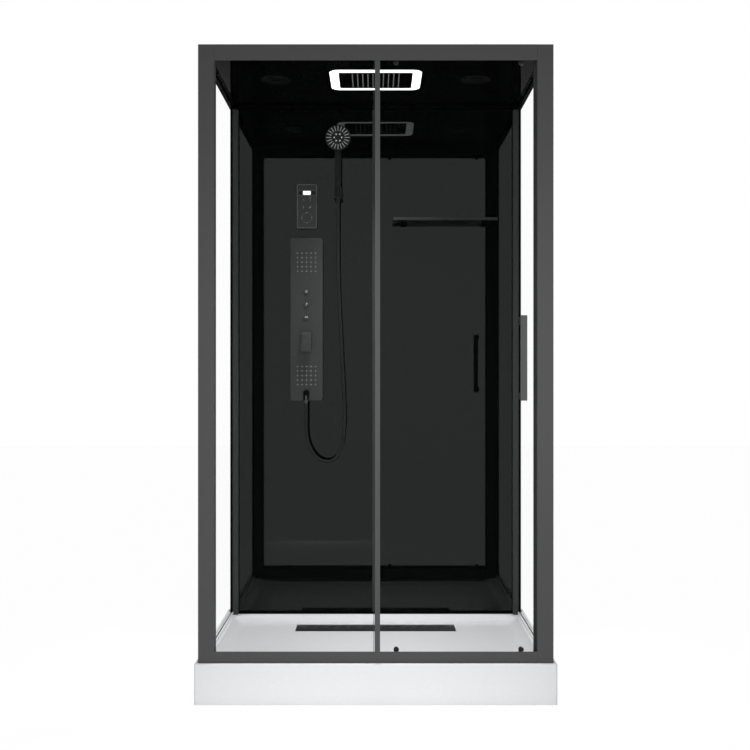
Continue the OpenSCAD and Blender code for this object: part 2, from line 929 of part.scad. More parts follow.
module valve_body() {
    half_w = 50;
    half_h = 40;
    spine_w = 20;
    branch_w = 12;
    spine_over = 20;
    branch_under = 60;
    color("#b08d3c")
        translate([-column_x, 0, 0]) {
            box(-half_w, half_w, valve_front, wall_y, knob_z - half_h, knob_z + half_h);
            box(-spine_w, spine_w, valve_front, wall_y - 2, knob_z + half_h - eps,
                button_z + button_pitch + spine_over);
            box(-branch_w, branch_w, valve_front, wall_y - 4, button_z + button_pitch + spine_over - eps,
                jet_zs[1]);
            box(-branch_w, branch_w, valve_front, wall_y - 4, panel_z + branch_under, knob_z - half_h + eps);
            for (sx = [-1, 1])
                translate([sx * inlet_pitch / 2, 0, knob_z])
                    difference() {
                        union() {
                            rod_y(inlet_r + inlet_shoulder, wall_y - eps, back_glass_y + glass_t + 1);
                            rod_y(inlet_r, wall_y - eps, back_y + inlet_out);
                        }
                        rod_y(inlet_r - 3, wall_y - 10, back_y + inlet_out + eps);
                    }
        }
}

module mixer_collar() {
    wall = 3.5;
    color("#3c3e40")
        translate([-column_x, 0, knob_z]) {
            difference() {
                rod_y(collar_r, panel_front - collar_out, valve_front - touch);
                rod_y(collar_r - wall, panel_front - collar_out - eps, panel_front + 6);
            }
            translate([0, tilt_y, 0])
                rod_x(1.5, -collar_r + wall / 2, collar_r - wall / 2);
        }
}

module mixer_knob() {
    half_h = knob_h / 2;
    back = panel_front - 12;
    color("#3c3e40")
        translate([-column_x, 0, knob_z])
            difference() {
                union() {
                    translate([-knob_w / 2, 0, 0])
                        rotate([90, 0, 90])
                            linear_extrude(knob_w)
                                polygon([[back, -half_h], [back - 20, -half_h], [back - 26, -half_h + 8],
                                         [back - 28, 0], [back - 26, half_h - 8], [back - 20, half_h],
                                         [back - 12, half_h], [back, half_h - 19]]);
                    rod_y(4.5, back - eps, tilt_y);
                    translate([0, tilt_y, 0])
                        rod_x(6, -6, 6);
                }
                translate([0, tilt_y, 0])
                    rod_x(1.5 + axle_gap, -7, 7);
            }
}

module push_button(row) {
    color("silver")
        translate([-column_x, 0, button_z + row * button_pitch])
            rod_y(button_r, panel_front - 5, valve_front - button_travel - 1);
}

module button_top() {
    push_button(1);
}

module button_middle() {
    push_button(0);
}

module button_bottom() {
    push_button(-1);
}

module hose_outlet() {
    nut_r = 8;
    arch_r = 11;
    arch_z = outlet_z + 42;
    color("#2a2a2c")
        translate([-column_x, 0, 0])
            union() {
                translate([0, 0, arch_z])
                    rod_y(arch_r, grip_y - 4, panel_front);
                box(-arch_r, arch_r, grip_y - 4, panel_front, arch_z - 20, arch_z);
                translate([0, grip_y, outlet_z])
                    cylinder(r1 = nut_r - 0.5, r2 = nut_r + 0.5, h = arch_z - outlet_z);
                translate([0, grip_y, arch_z])
                    sphere(r = nut_r + 0.5);
            }
}

// One ring of the hose's tube, square to the route
function hose_ring(i) =
    let (last = len(hose_points) - 1,
         along = hose_points[min(i + 1, last)] - hose_points[max(i - 1, 0)],
         ahead = i == 0 || i == last ? [0, 0, i == 0 ? -1 : 1] : along / norm(along),
         side = [ahead[2], 0, -ahead[0]])
    [for (k = [0 : hose_sides - 1])
        hose_points[i] + hose_r * (cos(360 * k / hose_sides) * side + [0, sin(360 * k / hose_sides), 0])];

module shower_hose() {
    rings = len(hose_points);
    sides = [for (i = [0 : rings - 2], k = [0 : hose_sides - 1])
        let (a = i * hose_sides + k, b = i * hose_sides + (k + 1) % hose_sides)
            [a, b, b + hose_sides, a + hose_sides]];
    ends = [[for (k = [hose_sides - 1 : -1 : 0]) k],
            [for (k = [0 : hose_sides - 1]) (rings - 1) * hose_sides + k]];
    color("#2a2a2c")
        polyhedron([for (i = [0 : rings - 1]) each hose_ring(i)], concat(sides, ends), 8);
}

module handset_body() {
    tip_r = 8.5;
    cone_h = 50;
    head_z = grip_l - 12 + head_r;
    color("#3c3e40")
        translate([-handset_x, 0, handset_z])
            difference() {
                union() {
                    translate([0, grip_y, 0])
                        rotate_extrude()
                            polygon([[0, 0], [tip_r, 0], [tip_r + cone_h * hook_taper, cone_h],
                                     [grip_r, cone_h + 12], [grip_r, grip_l], [0, grip_l]]);
                    translate([0, 0, head_z]) {
                        rod_y(head_r, grip_y - head_t + 3, grip_y + 1);
                        rod_y(head_r - 8, grip_y, grip_y + 5);
                    }
                }
                translate([0, 0, head_z])
                    rod_y(head_r - 3, grip_y - head_t + 3 - eps, grip_y - head_t + 7);
            }
}

module handset_face() {
    face_y = grip_y - head_t + 1;
    color("#2c2e30")
        translate([-handset_x, 0, handset_z + grip_l - 12 + head_r]) {
            rod_y(head_r - 3 - touch, face_y + 1.5, face_y + 6);
            for (turn = [0 : 15 : 345])
                rotate([0, turn, 0])
                    box(head_r * 0.52, head_r * 0.9, face_y, face_y + 2, -1.2, 1.2);
            for (turn = [0 : 60 : 300])
                rotate([0, turn, 0])
                    translate([head_r * 0.29, 0, 0])
                        rod_y(2.5, face_y, face_y + 2);
        }
}

module handset_holder() {
    ring_r = 17;
    ring_low = 2;
    ring_h = 38;
    tip_r = 8.5 + touch;
    plate_h = 58;
    color("#3c3e40")
        translate([-handset_x, 0, handset_z]) {
            difference() {
                translate([0, grip_y, ring_low])
                    rotate_extrude()
                        polygon([[tip_r + ring_low * hook_taper, 0], [ring_r, 0], [ring_r, ring_h],
                                 [tip_r + (ring_low + ring_h) * hook_taper, ring_h]]);
                box(-hook_w / 2, hook_w / 2, grip_y - ring_r - eps, grip_y, ring_low - eps,
                    ring_low + ring_h + eps);
            }
            box(-7, 7, grip_y + ring_r - 2, wall_y - 5, 13, 35);
            difference() {
                translate([0, 0, 28])
                    wall_plate(2 * ring_r, plate_h, 6, wall_y - 6, wall_y);
                for (z = holder_screws)
                    translate([0, 0, z])
                        rod_y(screw_r + thread_gap, wall_y - 6 - eps, wall_y + eps);
            }
        }
}

module control_housing() {
    color("#3a3c3e")
        translate([-column_x, 0, control_z])
            wall_plate(control_w, control_h, 7, wall_y - control_d, wall_y);
}

module control_display() {
    color("white")
        translate([-column_x, wall_y - control_d, control_z + control_h * 0.305])
            box(-control_w / 2 + 5, control_w / 2 - 5, -1, 0, -10, 10);
}

module control_keys() {
    color("black")
        translate([-column_x, wall_y - control_d, control_z]) {
            for (x = [-13.5, 13.5], z = [-4, 26])
                translate([x, 0, z])
                    box(-7, 7, -1, 0, -7, 7);
            translate([0, 0, -control_h * 0.26])
                rod_y(21.4, -1.2, 0);
        }
}

module shelf() {
    color("#c9cfce")
        translate([shelf_x, 0, 0])
            box(-shelf_l / 2, shelf_l / 2, wall_y - shelf_d, wall_y, shelf_z - shelf_t, shelf_z);
}

module shelf_brackets() {
    color("#3c3e40")
        for (side = [-1, 1])
            translate([shelf_x + side * bracket_x, 0, shelf_z - shelf_t])
                difference() {
                    box(-bracket_w / 2, bracket_w / 2, wall_y - bracket_d, wall_y, -bracket_h, 0);
                    box(-bracket_w / 2 - eps, bracket_w / 2 + eps, wall_y - bracket_d - eps,
                        wall_y - bracket_back, -bracket_h - eps, -bracket_t);
                    translate([0, 0, bracket_screw])
                        rod_y(screw_r + thread_gap, wall_y - bracket_back - eps, wall_y + eps);
                }
}

// The places of the screws that hold the holder and the shelf to the rear glass
module wall_screw_places() {
    for (z = holder_screws)
        translate([-handset_x, 0, handset_z + z])
            children();
    for (side = [-1, 1])
        translate([shelf_x + side * bracket_x, -2, shelf_z - shelf_t + bracket_screw])
            children();
}

module wall_screws() {
    color("silver")
        wall_screw_places() {
            rod_y(4, wall_y - 8, wall_y - 6);
            rod_y(screw_r, wall_y - 7, back_y + 2);
        }
}

module door_glass() {
    color("#c8d4d2", 0.25)
        difference() {
            box(door_left, door_right, door_y, door_y + glass_t, door_bottom, door_top);
            for (x = roller_xs, z = cap_zs)
                translate([x, 0, z])
                    rod_y(5.1, door_y - eps, door_y + glass_t + eps);
            for (z = standoff_zs)
                translate([handle_left + handle_w / 2, 0, z])
                    rod_y(4.1, door_y - eps, door_y + glass_t + eps);
        }
}

module door_seals() {
    low = lower_rail_top - 8;
    high = upper_rail_bottom + 8;
    color("#1c1c1e") {
        difference() {
            box(door_right - 6, post_in_x - touch, door_y - 1.5, door_y + glass_t + 1.5, low, high);
            box(door_right - 6 - eps, door_right, door_y, door_y + glass_t, low - eps, high + eps);
        }
        difference() {
            box(door_left - 3, door_left + 6, door_y - 1.5, door_y + glass_t + 1.5, low, high);
            box(door_left, door_left + 6 + eps, door_y, door_y + glass_t, low - eps, high + eps);
        }
        box(door_left - 3, door_left, front_y + upright_d + 0.4, door_y, low, high);
    }
}

module door_handle() {
    color("#58585a")
        box(handle_left, handle_left + handle_w, handle_back - handle_t, handle_back,
            handle_z - handle_l / 2, handle_z + handle_l / 2);
}

module handle_standoffs() {
    half_h = 11;
    color(black)
        for (z = standoff_zs) {
            box(handle_left, handle_left + handle_w, handle_back, door_y, z - half_h, z + half_h);
            translate([handle_left + handle_w / 2, 0, z]) {
                rod_y(4, door_y - eps, door_y + glass_t + eps);
                rod_y(9, door_y + glass_t, door_y + glass_t + 4);
            }
        }
}

// One carrier on the glass, with its wheel's axle on the rail's side of the cap
module roller_carrier(lift) {
    arm_y = door_y + glass_t;
    arm_t = 3;
    rod_y(cap_r, door_y - 4, door_y);
    rod_y(5, door_y - eps, arm_y + eps);
    rod_y(8, arm_y, arm_y + arm_t);
    box(-7, 7, arm_y, arm_y + arm_t, min(0, lift), max(0, lift));
    translate([0, 0, lift]) {
        rod_y(7, arm_y, arm_y + arm_t);
        rod_y(axle_r + 2, arm_y, wheel_front - touch);
        rod_y(axle_r, arm_y, wheel_front + wheel_w + touch);
        rod_y(axle_r + 1.5, wheel_front + wheel_w + touch, wheel_front + wheel_w + touch + 1.5);
    }
}

module roller_carriers() {
    lift = wheel_lift + cap_lift;
    color(black)
        for (x = roller_xs) {
            translate([x, 0, cap_zs[1]])
                roller_carrier(lift);
            translate([x, 0, cap_zs[0]])
                roller_carrier(-lift);
        }
}

module roller(x, z) {
    color("gainsboro")
        translate([x, 0, z])
            difference() {
                rod_y(roller_r, wheel_front, wheel_front + wheel_w);
                rod_y(axle_r + axle_gap, wheel_front - eps, wheel_front + wheel_w + eps);
            }
}

module roller_top_left() {
    roller(roller_xs[0], upper_rail_bottom + wheel_lift);
}

module roller_top_right() {
    roller(roller_xs[1], upper_rail_bottom + wheel_lift);
}

module roller_bottom_left() {
    roller(roller_xs[0], lower_rail_top - wheel_lift);
}

module roller_bottom_right() {
    roller(roller_xs[1], lower_rail_top - wheel_lift);
}

shower_tray();
tray_frame();
tray_feet();
drain_trap();
drain_cover();
front_post_left();
front_post_right();
front_top_rail();
front_bottom_rail();
side_top_rails();
glass_channels();
rear_column_left();
rear_column_right();
rear_middle_column();
rear_top_rail();
fixed_glass_upright();
fixed_glass();
side_glass_left();
side_glass_right();
back_glass_left();
back_glass_right();
roof_panel();
light_ring();
rain_plate();
rain_nozzles();
rain_feed();
fan_grille();
fan_housing();
fan_impeller();
speaker_grille();
speaker_driver();
power_box();
column_cover();
jet_pads();
valve_body();
mixer_collar();
mixer_knob();
button_top();
button_middle();
button_bottom();
hose_outlet();
shower_hose();
handset_body();
handset_face();
handset_holder();
control_housing();
control_display();
control_keys();
shelf();
shelf_brackets();
door_glass();
door_seals();
door_handle();
handle_standoffs();
roller_carriers();
roller_top_left();
roller_top_right();
roller_bottom_left();
roller_bottom_right();
wall_screws();
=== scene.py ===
import math

import bmesh
import bpy
from mathutils import Matrix, Vector


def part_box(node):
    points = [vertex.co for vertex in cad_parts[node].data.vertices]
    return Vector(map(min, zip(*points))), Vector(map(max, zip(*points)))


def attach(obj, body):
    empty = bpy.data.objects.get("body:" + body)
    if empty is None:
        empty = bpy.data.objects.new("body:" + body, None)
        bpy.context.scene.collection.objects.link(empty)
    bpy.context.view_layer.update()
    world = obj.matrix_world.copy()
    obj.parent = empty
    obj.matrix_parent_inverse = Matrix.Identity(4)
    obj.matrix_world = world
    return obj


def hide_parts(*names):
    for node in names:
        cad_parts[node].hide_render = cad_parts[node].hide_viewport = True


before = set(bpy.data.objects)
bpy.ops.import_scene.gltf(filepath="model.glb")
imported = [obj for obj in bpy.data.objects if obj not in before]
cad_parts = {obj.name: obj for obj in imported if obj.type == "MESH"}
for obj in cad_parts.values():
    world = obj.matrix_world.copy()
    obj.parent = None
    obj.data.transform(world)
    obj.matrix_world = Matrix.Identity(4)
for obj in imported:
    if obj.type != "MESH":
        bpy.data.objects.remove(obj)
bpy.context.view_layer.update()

MM = 0.001
CORNER_STEPS = 8
LEAST_RADIUS = 0.2 * MM

# The column's and the handset's middle across, and the depth of handle and hose, as in the source
COLUMN_X = -278 * MM
HANDSET_X = -150 * MM
GRIP_Y = 324 * MM

# Least part of a face's normal along an axis for the face to look along that axis
SQUARE_ON = 0.99


# Camera, from the photograph: level, at mid height, 3.4 m in front of the frame

camera = bpy.data.objects.new("camera", bpy.data.cameras.new("camera"))
camera.location = (-0.0025, -3.772, 1.090)
camera.rotation_euler = (math.radians(90), 0, 0)
camera.data.sensor_width = 36
camera.data.lens = 49.12
camera.data.clip_end = 60
bpy.context.scene.collection.objects.link(camera)
bpy.context.scene.camera = camera


# Materials

def level(value):
    """The linear amount of light that shows as this 0 to 255 level on screen."""
    share = value / 255
    return share / 12.92 if share <= 0.04045 else ((share + 0.055) / 1.055) ** 2.4


def tone(red, green=None, blue=None):
    """A linear colour from 0 to 255 levels, grey where only one is given."""
    levels = (red, red if green is None else green, red if blue is None else blue)
    return tuple(level(value) for value in levels)


def add_node(tree, kind, **values):
    """A shader node with these input values."""
    made = tree.nodes.new(kind)
    for name, value in values.items():
        made.inputs[name].default_value = value
    return made


def spread_range(tree, source, low, high):
    """Noise brought to a range from low to high."""
    spans = {"From Min": 0.3, "From Max": 0.7, "To Min": low, "To Max": high}
    made = add_node(tree, "ShaderNodeMapRange", **spans)
    tree.links.new(source, made.inputs["Value"])
    return made.outputs["Result"]


MATERIALS = {}


def surface(name, colour, rough, fleck=0.05, grain=400.0, relief=0.0, spread=0.06, stretch=(1, 1, 1),
            **sockets):
    """Makes a material with flecks of colour, uneven gloss and fine relief, from noise in the piece's
    space, and keeps it by its name."""
    material = bpy.data.materials.new(name)
    material.use_nodes = True
    tree = material.node_tree
    shader = tree.nodes["Principled BSDF"]
    place = tree.nodes.new("ShaderNodeTexCoord")
    mapping = add_node(tree, "ShaderNodeMapping", Scale=stretch)
    tree.links.new(place.outputs["Object"], mapping.inputs["Vector"])
    fine = add_node(tree, "ShaderNodeTexNoise", Scale=grain, Detail=4.0)
    broad = add_node(tree, "ShaderNodeTexNoise", Scale=grain / 50, Detail=2.0)
    for noise in (fine, broad):
        tree.links.new(mapping.outputs["Vector"], noise.inputs["Vector"])
    ramp = tree.nodes.new("ShaderNodeValToRGB")
    ends = ramp.color_ramp.elements
    ends[0].position = 0.3
    ends[1].position = 0.7
    ends[0].color = (*(part * (1 - fleck) for part in colour), 1)
    ends[1].color = (*(part * (1 + fleck) for part in colour), 1)
    tree.links.new(fine.outputs["Fac"], ramp.inputs["Fac"])
    tree.links.new(ramp.outputs["Color"], shader.inputs["Base Color"])
    uneven = spread_range(tree, broad.outputs["Fac"], max(rough - spread, 0.01), rough + spread)
    tree.links.new(uneven, shader.inputs["Roughness"])
    if relief:
        bump = add_node(tree, "ShaderNodeBump", Distance=relief)
        tree.links.new(fine.outputs["Fac"], bump.inputs["Height"])
        tree.links.new(bump.outputs["Normal"], shader.inputs["Normal"])
    for socket, value in sockets.items():
        shader.inputs[socket.replace("_", " ")].default_value = value
    MATERIALS[name] = material


def glowing(name, colour, strength, **extra):
    """Makes a material that glows evenly, with flecks of colour under the glow."""
    surface(name, colour, 0.4, Emission_Color=(*colour, 1), Emission_Strength=strength, **extra)


surface("acrylic", tone(242, 243, 244), 0.22, fleck=0.01, grain=60, relief=0.00003, spread=0.05)
surface("frame_coat", tone(84, 84, 85), 0.6, grain=900, relief=0.00006, IOR=1.2)
surface("rear_coat", tone(60, 63, 62), 0.6, grain=900, relief=0.00006, IOR=1.2)
surface("anodised", tone(84, 86, 86), 0.5, grain=500, relief=0.00004, stretch=(1, 1, 0.03), IOR=1.2)
surface("black_glass", tone(5, 5, 5), 0.015, spread=0.005, fleck=0.1, grain=3, IOR=1.352,
        Specular_Tint=(0.9, 1.0, 0.96, 1))
surface("clear_glass", tone(50, 62, 58), 0.04, spread=0.02, grain=8, Alpha=0.006, IOR=1.1)
surface("glass_edge", tone(70, 92, 84), 0.2, grain=200, Alpha=0.85)
surface("roof_gloss", tone(7, 7, 7), 0.015, spread=0.005, fleck=0.1, grain=40, IOR=1.035)
glowing("lamp_cover", tone(250), 2.0, fleck=0.01, grain=60)
surface("lamp_edge", tone(90, 90, 91), 0.4, grain=500)
surface("nozzle_rubber", tone(150, 151, 152), 0.6, grain=700, relief=0.00005)
surface("rib_grey", tone(204, 205, 206), 0.6, grain=700, relief=0.00005)
surface("jet_rubber", tone(175, 175, 174), 0.5, grain=700, relief=0.00005)
surface("grille_gloss", tone(14, 14, 15), 0.3, grain=600, relief=0.00003, IOR=1.15)
surface("housing_plastic", tone(70, 71, 73), 0.6, grain=1200, relief=0.0001)
surface("impeller_plastic", tone(120, 121, 123), 0.45, grain=800, relief=0.00005)
surface("column_gloss", tone(56, 58, 58), 0.35, grain=700, relief=0.00003, IOR=1.25)
surface("knob_gloss", tone(56, 57, 57), 0.3, grain=700, relief=0.00003, IOR=1.25)
surface("brass", (0.6, 0.44, 0.18), 0.3, grain=300, relief=0.0001, Metallic=1.0)
surface("button_gloss", tone(58, 59, 59), 0.3, grain=500, IOR=1.25)
surface("icon_white", tone(150, 151, 151), 0.5, grain=500)
surface("dot_white", tone(250, 251, 251), 0.5, grain=500)
surface("mark_grey", tone(95, 96, 96), 0.5, grain=500)
surface("trim_grey", tone(86, 88, 88), 0.35, grain=500)
surface("outlet_metal", tone(64, 65, 66), 0.35, grain=500, Metallic=0.4)
# Painted shade: the outlet's arch is near black to stand for the shade of a recess behind the connector
surface("arch_painted_shade", tone(8, 8, 8), 0.45, grain=700, relief=0.00003, IOR=1.1)
surface("hose_sleeve", tone(28, 29, 29), 0.38, grain=900, relief=0.00005, IOR=1.25)
surface("spray_black", tone(44, 46, 45), 0.4, grain=700, IOR=1.15)
glowing("display_glow", tone(235, 245, 248), 1.0)
glowing("led_red", tone(205, 60, 66), 0.8)
surface("key_gloss", tone(56, 58, 58), 0.3, grain=500, IOR=1.25)
surface("dark_gloss", tone(30, 32, 32), 0.2, grain=500, IOR=1.2)
surface("handset_gloss", tone(30, 31, 31), 0.35, grain=700, relief=0.00003, IOR=1.2)
surface("rail_black", tone(7, 7, 7), 0.3, grain=900, IOR=1.05)
surface("shelf_glass", tone(5, 5, 5), 0.08, spread=0.02, grain=12, IOR=1.1)
surface("shelf_edge", tone(46, 49, 48), 0.25, grain=200, IOR=1.2)
surface("cover_coat", tone(38, 40, 41), 0.45, grain=900, relief=0.00006)
surface("seal_rubber", tone(34, 35, 35), 0.7, grain=700, relief=0.00008)
surface("clear_seal", tone(60, 64, 63), 0.3, grain=300, relief=0.00004, Alpha=0.012, IOR=1.1)
surface("fitting_plastic", tone(24, 24, 25), 0.45, grain=900, relief=0.00006)
surface("roller_plastic", tone(205, 206, 207), 0.45, grain=700, relief=0.00004)
surface("zinc", tone(190, 192, 194), 0.4, fleck=0.12, grain=90, relief=0.00005, Metallic=1.0)
surface("foot_plastic", tone(40, 40, 41), 0.65, grain=900, relief=0.0001)
surface("pipe_plastic", tone(150, 152, 154), 0.55, grain=500, relief=0.00006)


# Shapes

def in_metres(pairs):
    """Pairs given in millimetres, in metres."""
    return [(first * MM, second * MM) for first, second in pairs]


def rect_loop(low, high, radius):
    """Points round a rounded rectangle from low to high, as pairs, anticlockwise."""
    points = []
    centres = ((high[0] - radius, high[1] - radius), (low[0] + radius, high[1] - radius),
               (low[0] + radius, low[1] + radius), (high[0] - radius, low[1] + radius))
    for quarter, centre in enumerate(centres):
        for step in range(CORNER_STEPS + 1):
            turn = math.radians(90) * (quarter + step / CORNER_STEPS)
            points.append((centre[0] + radius * math.cos(turn), centre[1] + radius * math.sin(turn)))
    return points


def circle_loop(centre, radius, count):
    """Points round a circle, as pairs, anticlockwise."""
    turns = [math.tau * step / count for step in range(count)]
    return [(centre[0] + radius * math.cos(turn), centre[1] + radius * math.sin(turn)) for turn in turns]


def at_height(pairs, z):
    """Pairs of x and y at one height."""
    return [Vector((x, y, z)) for x, y in pairs]


def at_depth(pairs, y):
    """Pairs of x and z at one depth."""
    return [Vector((x, y, z)) for x, z in pairs]


def ring_of(mesh, points):
    """New vertices of a mesh, one for each point."""
    return [mesh.verts.new(point) for point in points]


def skin(mesh, rings):
    """Faces between rings of vertices, each ring to the next."""
    for first, second in zip(rings, rings[1:]):
        count = len(first)
        for step in range(count):
            after = (step + 1) % count
            mesh.faces.new((first[step], first[after], second[after], second[step]))


def loft(mesh, loops, close_start=True, close_end=True):
    """A skin over loops of points, its ends closed where asked."""
    rings = [ring_of(mesh, points) for points in loops]
    skin(mesh, rings)
    if close_start:
        mesh.faces.new(rings[0])
    if close_end:
        mesh.faces.new(rings[-1])
    return rings


def loop_edges(ring):
    """The edges round a ring of vertices."""
    edges = []
    for vertex, after in zip(ring, ring[1:] + ring[:1]):
        edges.extend(edge for edge in vertex.link_edges if edge.other_vert(vertex) is after)
    return edges


def fill_between(mesh, outer, inner):
    """A flat surface with a hole, between two rings of vertices."""
    edges = loop_edges(outer) + loop_edges(inner)
    bmesh.ops.triangle_fill(mesh, use_beauty=True, use_dissolve=False, edges=edges)


def quarter_turns(steps):
    """Sine and cosine over a quarter turn, from 0 to 90 degrees."""
    turns = [math.radians(90) * step / steps for step in range(steps + 1)]
    return [(math.sin(turn), math.cos(turn)) for turn in turns]


def inset_rect(low, high, radius, inset):
    """A rounded rectangle brought in on each side, or out where the inset is below nought."""
    near = (low[0] + inset, low[1] + inset)
    far = (high[0] - inset, high[1] - inset)
    return rect_loop(near, far, max(radius - inset, LEAST_RADIUS))


def plate_y(mesh, low, high, radius, front, back, edge, steps=3):
    """A plate in the XZ plane with rounded corners and a rounded front edge."""
    loops = [at_depth(rect_loop(low, high, radius), back)]
    for sine, cosine in quarter_turns(steps):
        outline = inset_rect(low, high, radius, edge * (1 - cosine))
        loops.append(at_depth(outline, front + edge * (1 - sine)))
    loft(mesh, loops)


def plate_z(mesh, low, high, radius, bottom, top, edge):
    """A flat plate with rounded corners and a rounded lower edge."""
    loops = [at_height(rect_loop(low, high, radius), top)]
    for sine, cosine in quarter_turns(3):
        outline = inset_rect(low, high, radius, edge * (1 - cosine))
        loops.append(at_height(outline, bottom + edge * (1 - sine)))
    loft(mesh, loops)


def lathe(mesh, profile, place, count):
    """A turned shape: profile gives radius and height along the axis, place turns and moves it."""
    loops = []
    for radius, along in profile:
        loops.append([place @ Vector((x, y, along)) for x, y in circle_loop((0, 0), radius, count)])
    loft(mesh, loops)


def facing_front(x, y, z):
    """A place whose axis points to the front."""
    return Matrix.Translation((x, y, z)) @ Matrix.Rotation(math.radians(90), 4, "X")


def band_y(mesh, low, high, radius, width, front, back):
    """A thin frame in the XZ plane, width wide inside its outline."""
    outer = rect_loop(low, high, radius)
    inner = inset_rect(low, high, radius, width)
    loops = [at_depth(outer, back), at_depth(outer, front), at_depth(inner, front), at_depth(inner, back)]
    rings = loft(mesh, loops, False, False)
    skin(mesh, [rings[-1], rings[0]])


def piece_from(name, mesh, body, materials, nodes=(), sharp=35):
    """An object made of a mesh that rides on a body, takes its finishes by name and stands for nodes."""
    bmesh.ops.recalc_face_normals(mesh, faces=mesh.faces)
    data = bpy.data.meshes.new(name)
    mesh.to_mesh(data)
    mesh.free()
    data.shade_smooth()
    data.set_sharp_from_angle(angle=math.radians(sharp))
    piece = bpy.data.objects.new(name, data)
    bpy.context.scene.collection.objects.link(piece)
    for material in materials:
        data.materials.append(MATERIALS[material])
    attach(piece, body)
    if nodes:
        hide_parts(*nodes)
    return piece


def apply_modifiers(piece):
    """Works a piece's modifiers into its mesh."""
    graph = bpy.context.evaluated_depsgraph_get()
    worked = bpy.data.meshes.new_from_object(piece.evaluated_get(graph))
    piece.modifiers.clear()
    piece.data = worked


def cut(piece, mesh):
    """Takes the solids of a mesh out of a piece."""
    bmesh.ops.recalc_face_normals(mesh, faces=mesh.faces)
    data = bpy.data.meshes.new("cutter")
    mesh.to_mesh(data)
    mesh.free()
    tool = bpy.data.objects.new("cutter", data)
    bpy.context.scene.collection.objects.link(tool)
    change = piece.modifiers.new("cut", "BOOLEAN")
    change.operation = "DIFFERENCE"
    change.solver = "EXACT"
    change.object = tool
    apply_modifiers(piece)
    bpy.data.objects.remove(tool)


def soften(piece, width):
    """Rounds a piece's sharp edges."""
    change = piece.modifiers.new("soft_edges", "BEVEL")
    change.width = width
    change.segments = 2
    change.limit_method = "ANGLE"
    change.angle_limit = math.radians(40)
    change.harden_normals = True
    change.use_clamp_overlap = True


def dressed(node, body, material, width):
    """A copy of a CAD node's mesh with soft edges, in place of the node."""
    mesh = bmesh.new()
    mesh.from_mesh(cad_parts[node].data)
    for face in mesh.faces:
        face.material_index = 0
    bmesh.ops.remove_doubles(mesh, verts=mesh.verts, dist=0.00001)
    bmesh.ops.dissolve_limit(mesh, angle_limit=math.radians(1), verts=mesh.verts, edges=mesh.edges)
    piece = piece_from(node + "_dressed", mesh, body, [material], [node])
    soften(piece, width)
    return piece


# Shower hose, along the route of the source

HOSE_ROUTE = (
    (-278, 977), (-278, 940), (-278, 903), (-278, 866), (-273, 832), (-263, 801), (-247, 773),
    (-226, 753), (-199, 744), (-172, 749), (-151, 768), (-138, 795), (-131, 827), (-127.5, 861),
    (-125, 896), (-125, 935), (-126, 975), (-127, 1015), (-129, 1055), (-131, 1095), (-133, 1135),
    (-135, 1175), (-137, 1215), (-139, 1255), (-141, 1295), (-143, 1335), (-145, 1375), (-147, 1415),
    (-148, 1455), (-149, 1495), (-150, 1535), (-150, 1575), (-150, 1615), (-150, 1655), (-150, 1690),
    (-150, 1725), (-150, 1760), (-150, 1798),
)
HOSE_RADIUS = 7 * MM


def make_hose():
    """The hose as one open curve through the route's points."""
    data = bpy.data.curves.new("hose_curve", "CURVE")
    data.dimensions = "3D"
    data.bevel_depth = HOSE_RADIUS
    data.bevel_resolution = 6
    data.resolution_u = 8
    spline = data.splines.new("BEZIER")
    spline.bezier_points.add(len(HOSE_ROUTE) - 1)
    for point, (x, z) in zip(spline.bezier_points, HOSE_ROUTE):
        point.co = (x * MM, GRIP_Y, z * MM)
        point.handle_left_type = "AUTO"
        point.handle_right_type = "AUTO"
    hose = bpy.data.objects.new("hose_curve", data)
    bpy.context.scene.collection.objects.link(hose)
    data.materials.append(MATERIALS["hose_sleeve"])
    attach(hose, "cabin")
    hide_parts("shower_hose")


make_hose()


# CAD nodes that stay, with a finish of their own

def repaint(material, *nodes):
    """Gives CAD nodes a material."""
    for node in nodes:
        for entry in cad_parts[node].material_slots:
            entry.material = MATERIALS[material]


repaint("zinc", "tray_frame")
repaint("foot_plastic", "tray_feet")
repaint("pipe_plastic", "drain_trap", "rain_feed")
repaint("rail_black", "side_top_rails", "rear_top_rail")
repaint("roof_gloss", "roof_panel", "rain_plate")
repaint("housing_plastic", "fan_housing", "speaker_driver", "power_box")
repaint("impeller_plastic", "fan_impeller")
repaint("brass", "valve_body")
repaint("knob_gloss", "mixer_collar")
repaint("fitting_plastic", "roller_carriers")
repaint("roller_plastic", "roller_top_left", "roller_top_right", "roller_bottom_left",
        "roller_bottom_right")
repaint("rail_black", "wall_screws", "shelf_brackets")


# Tray

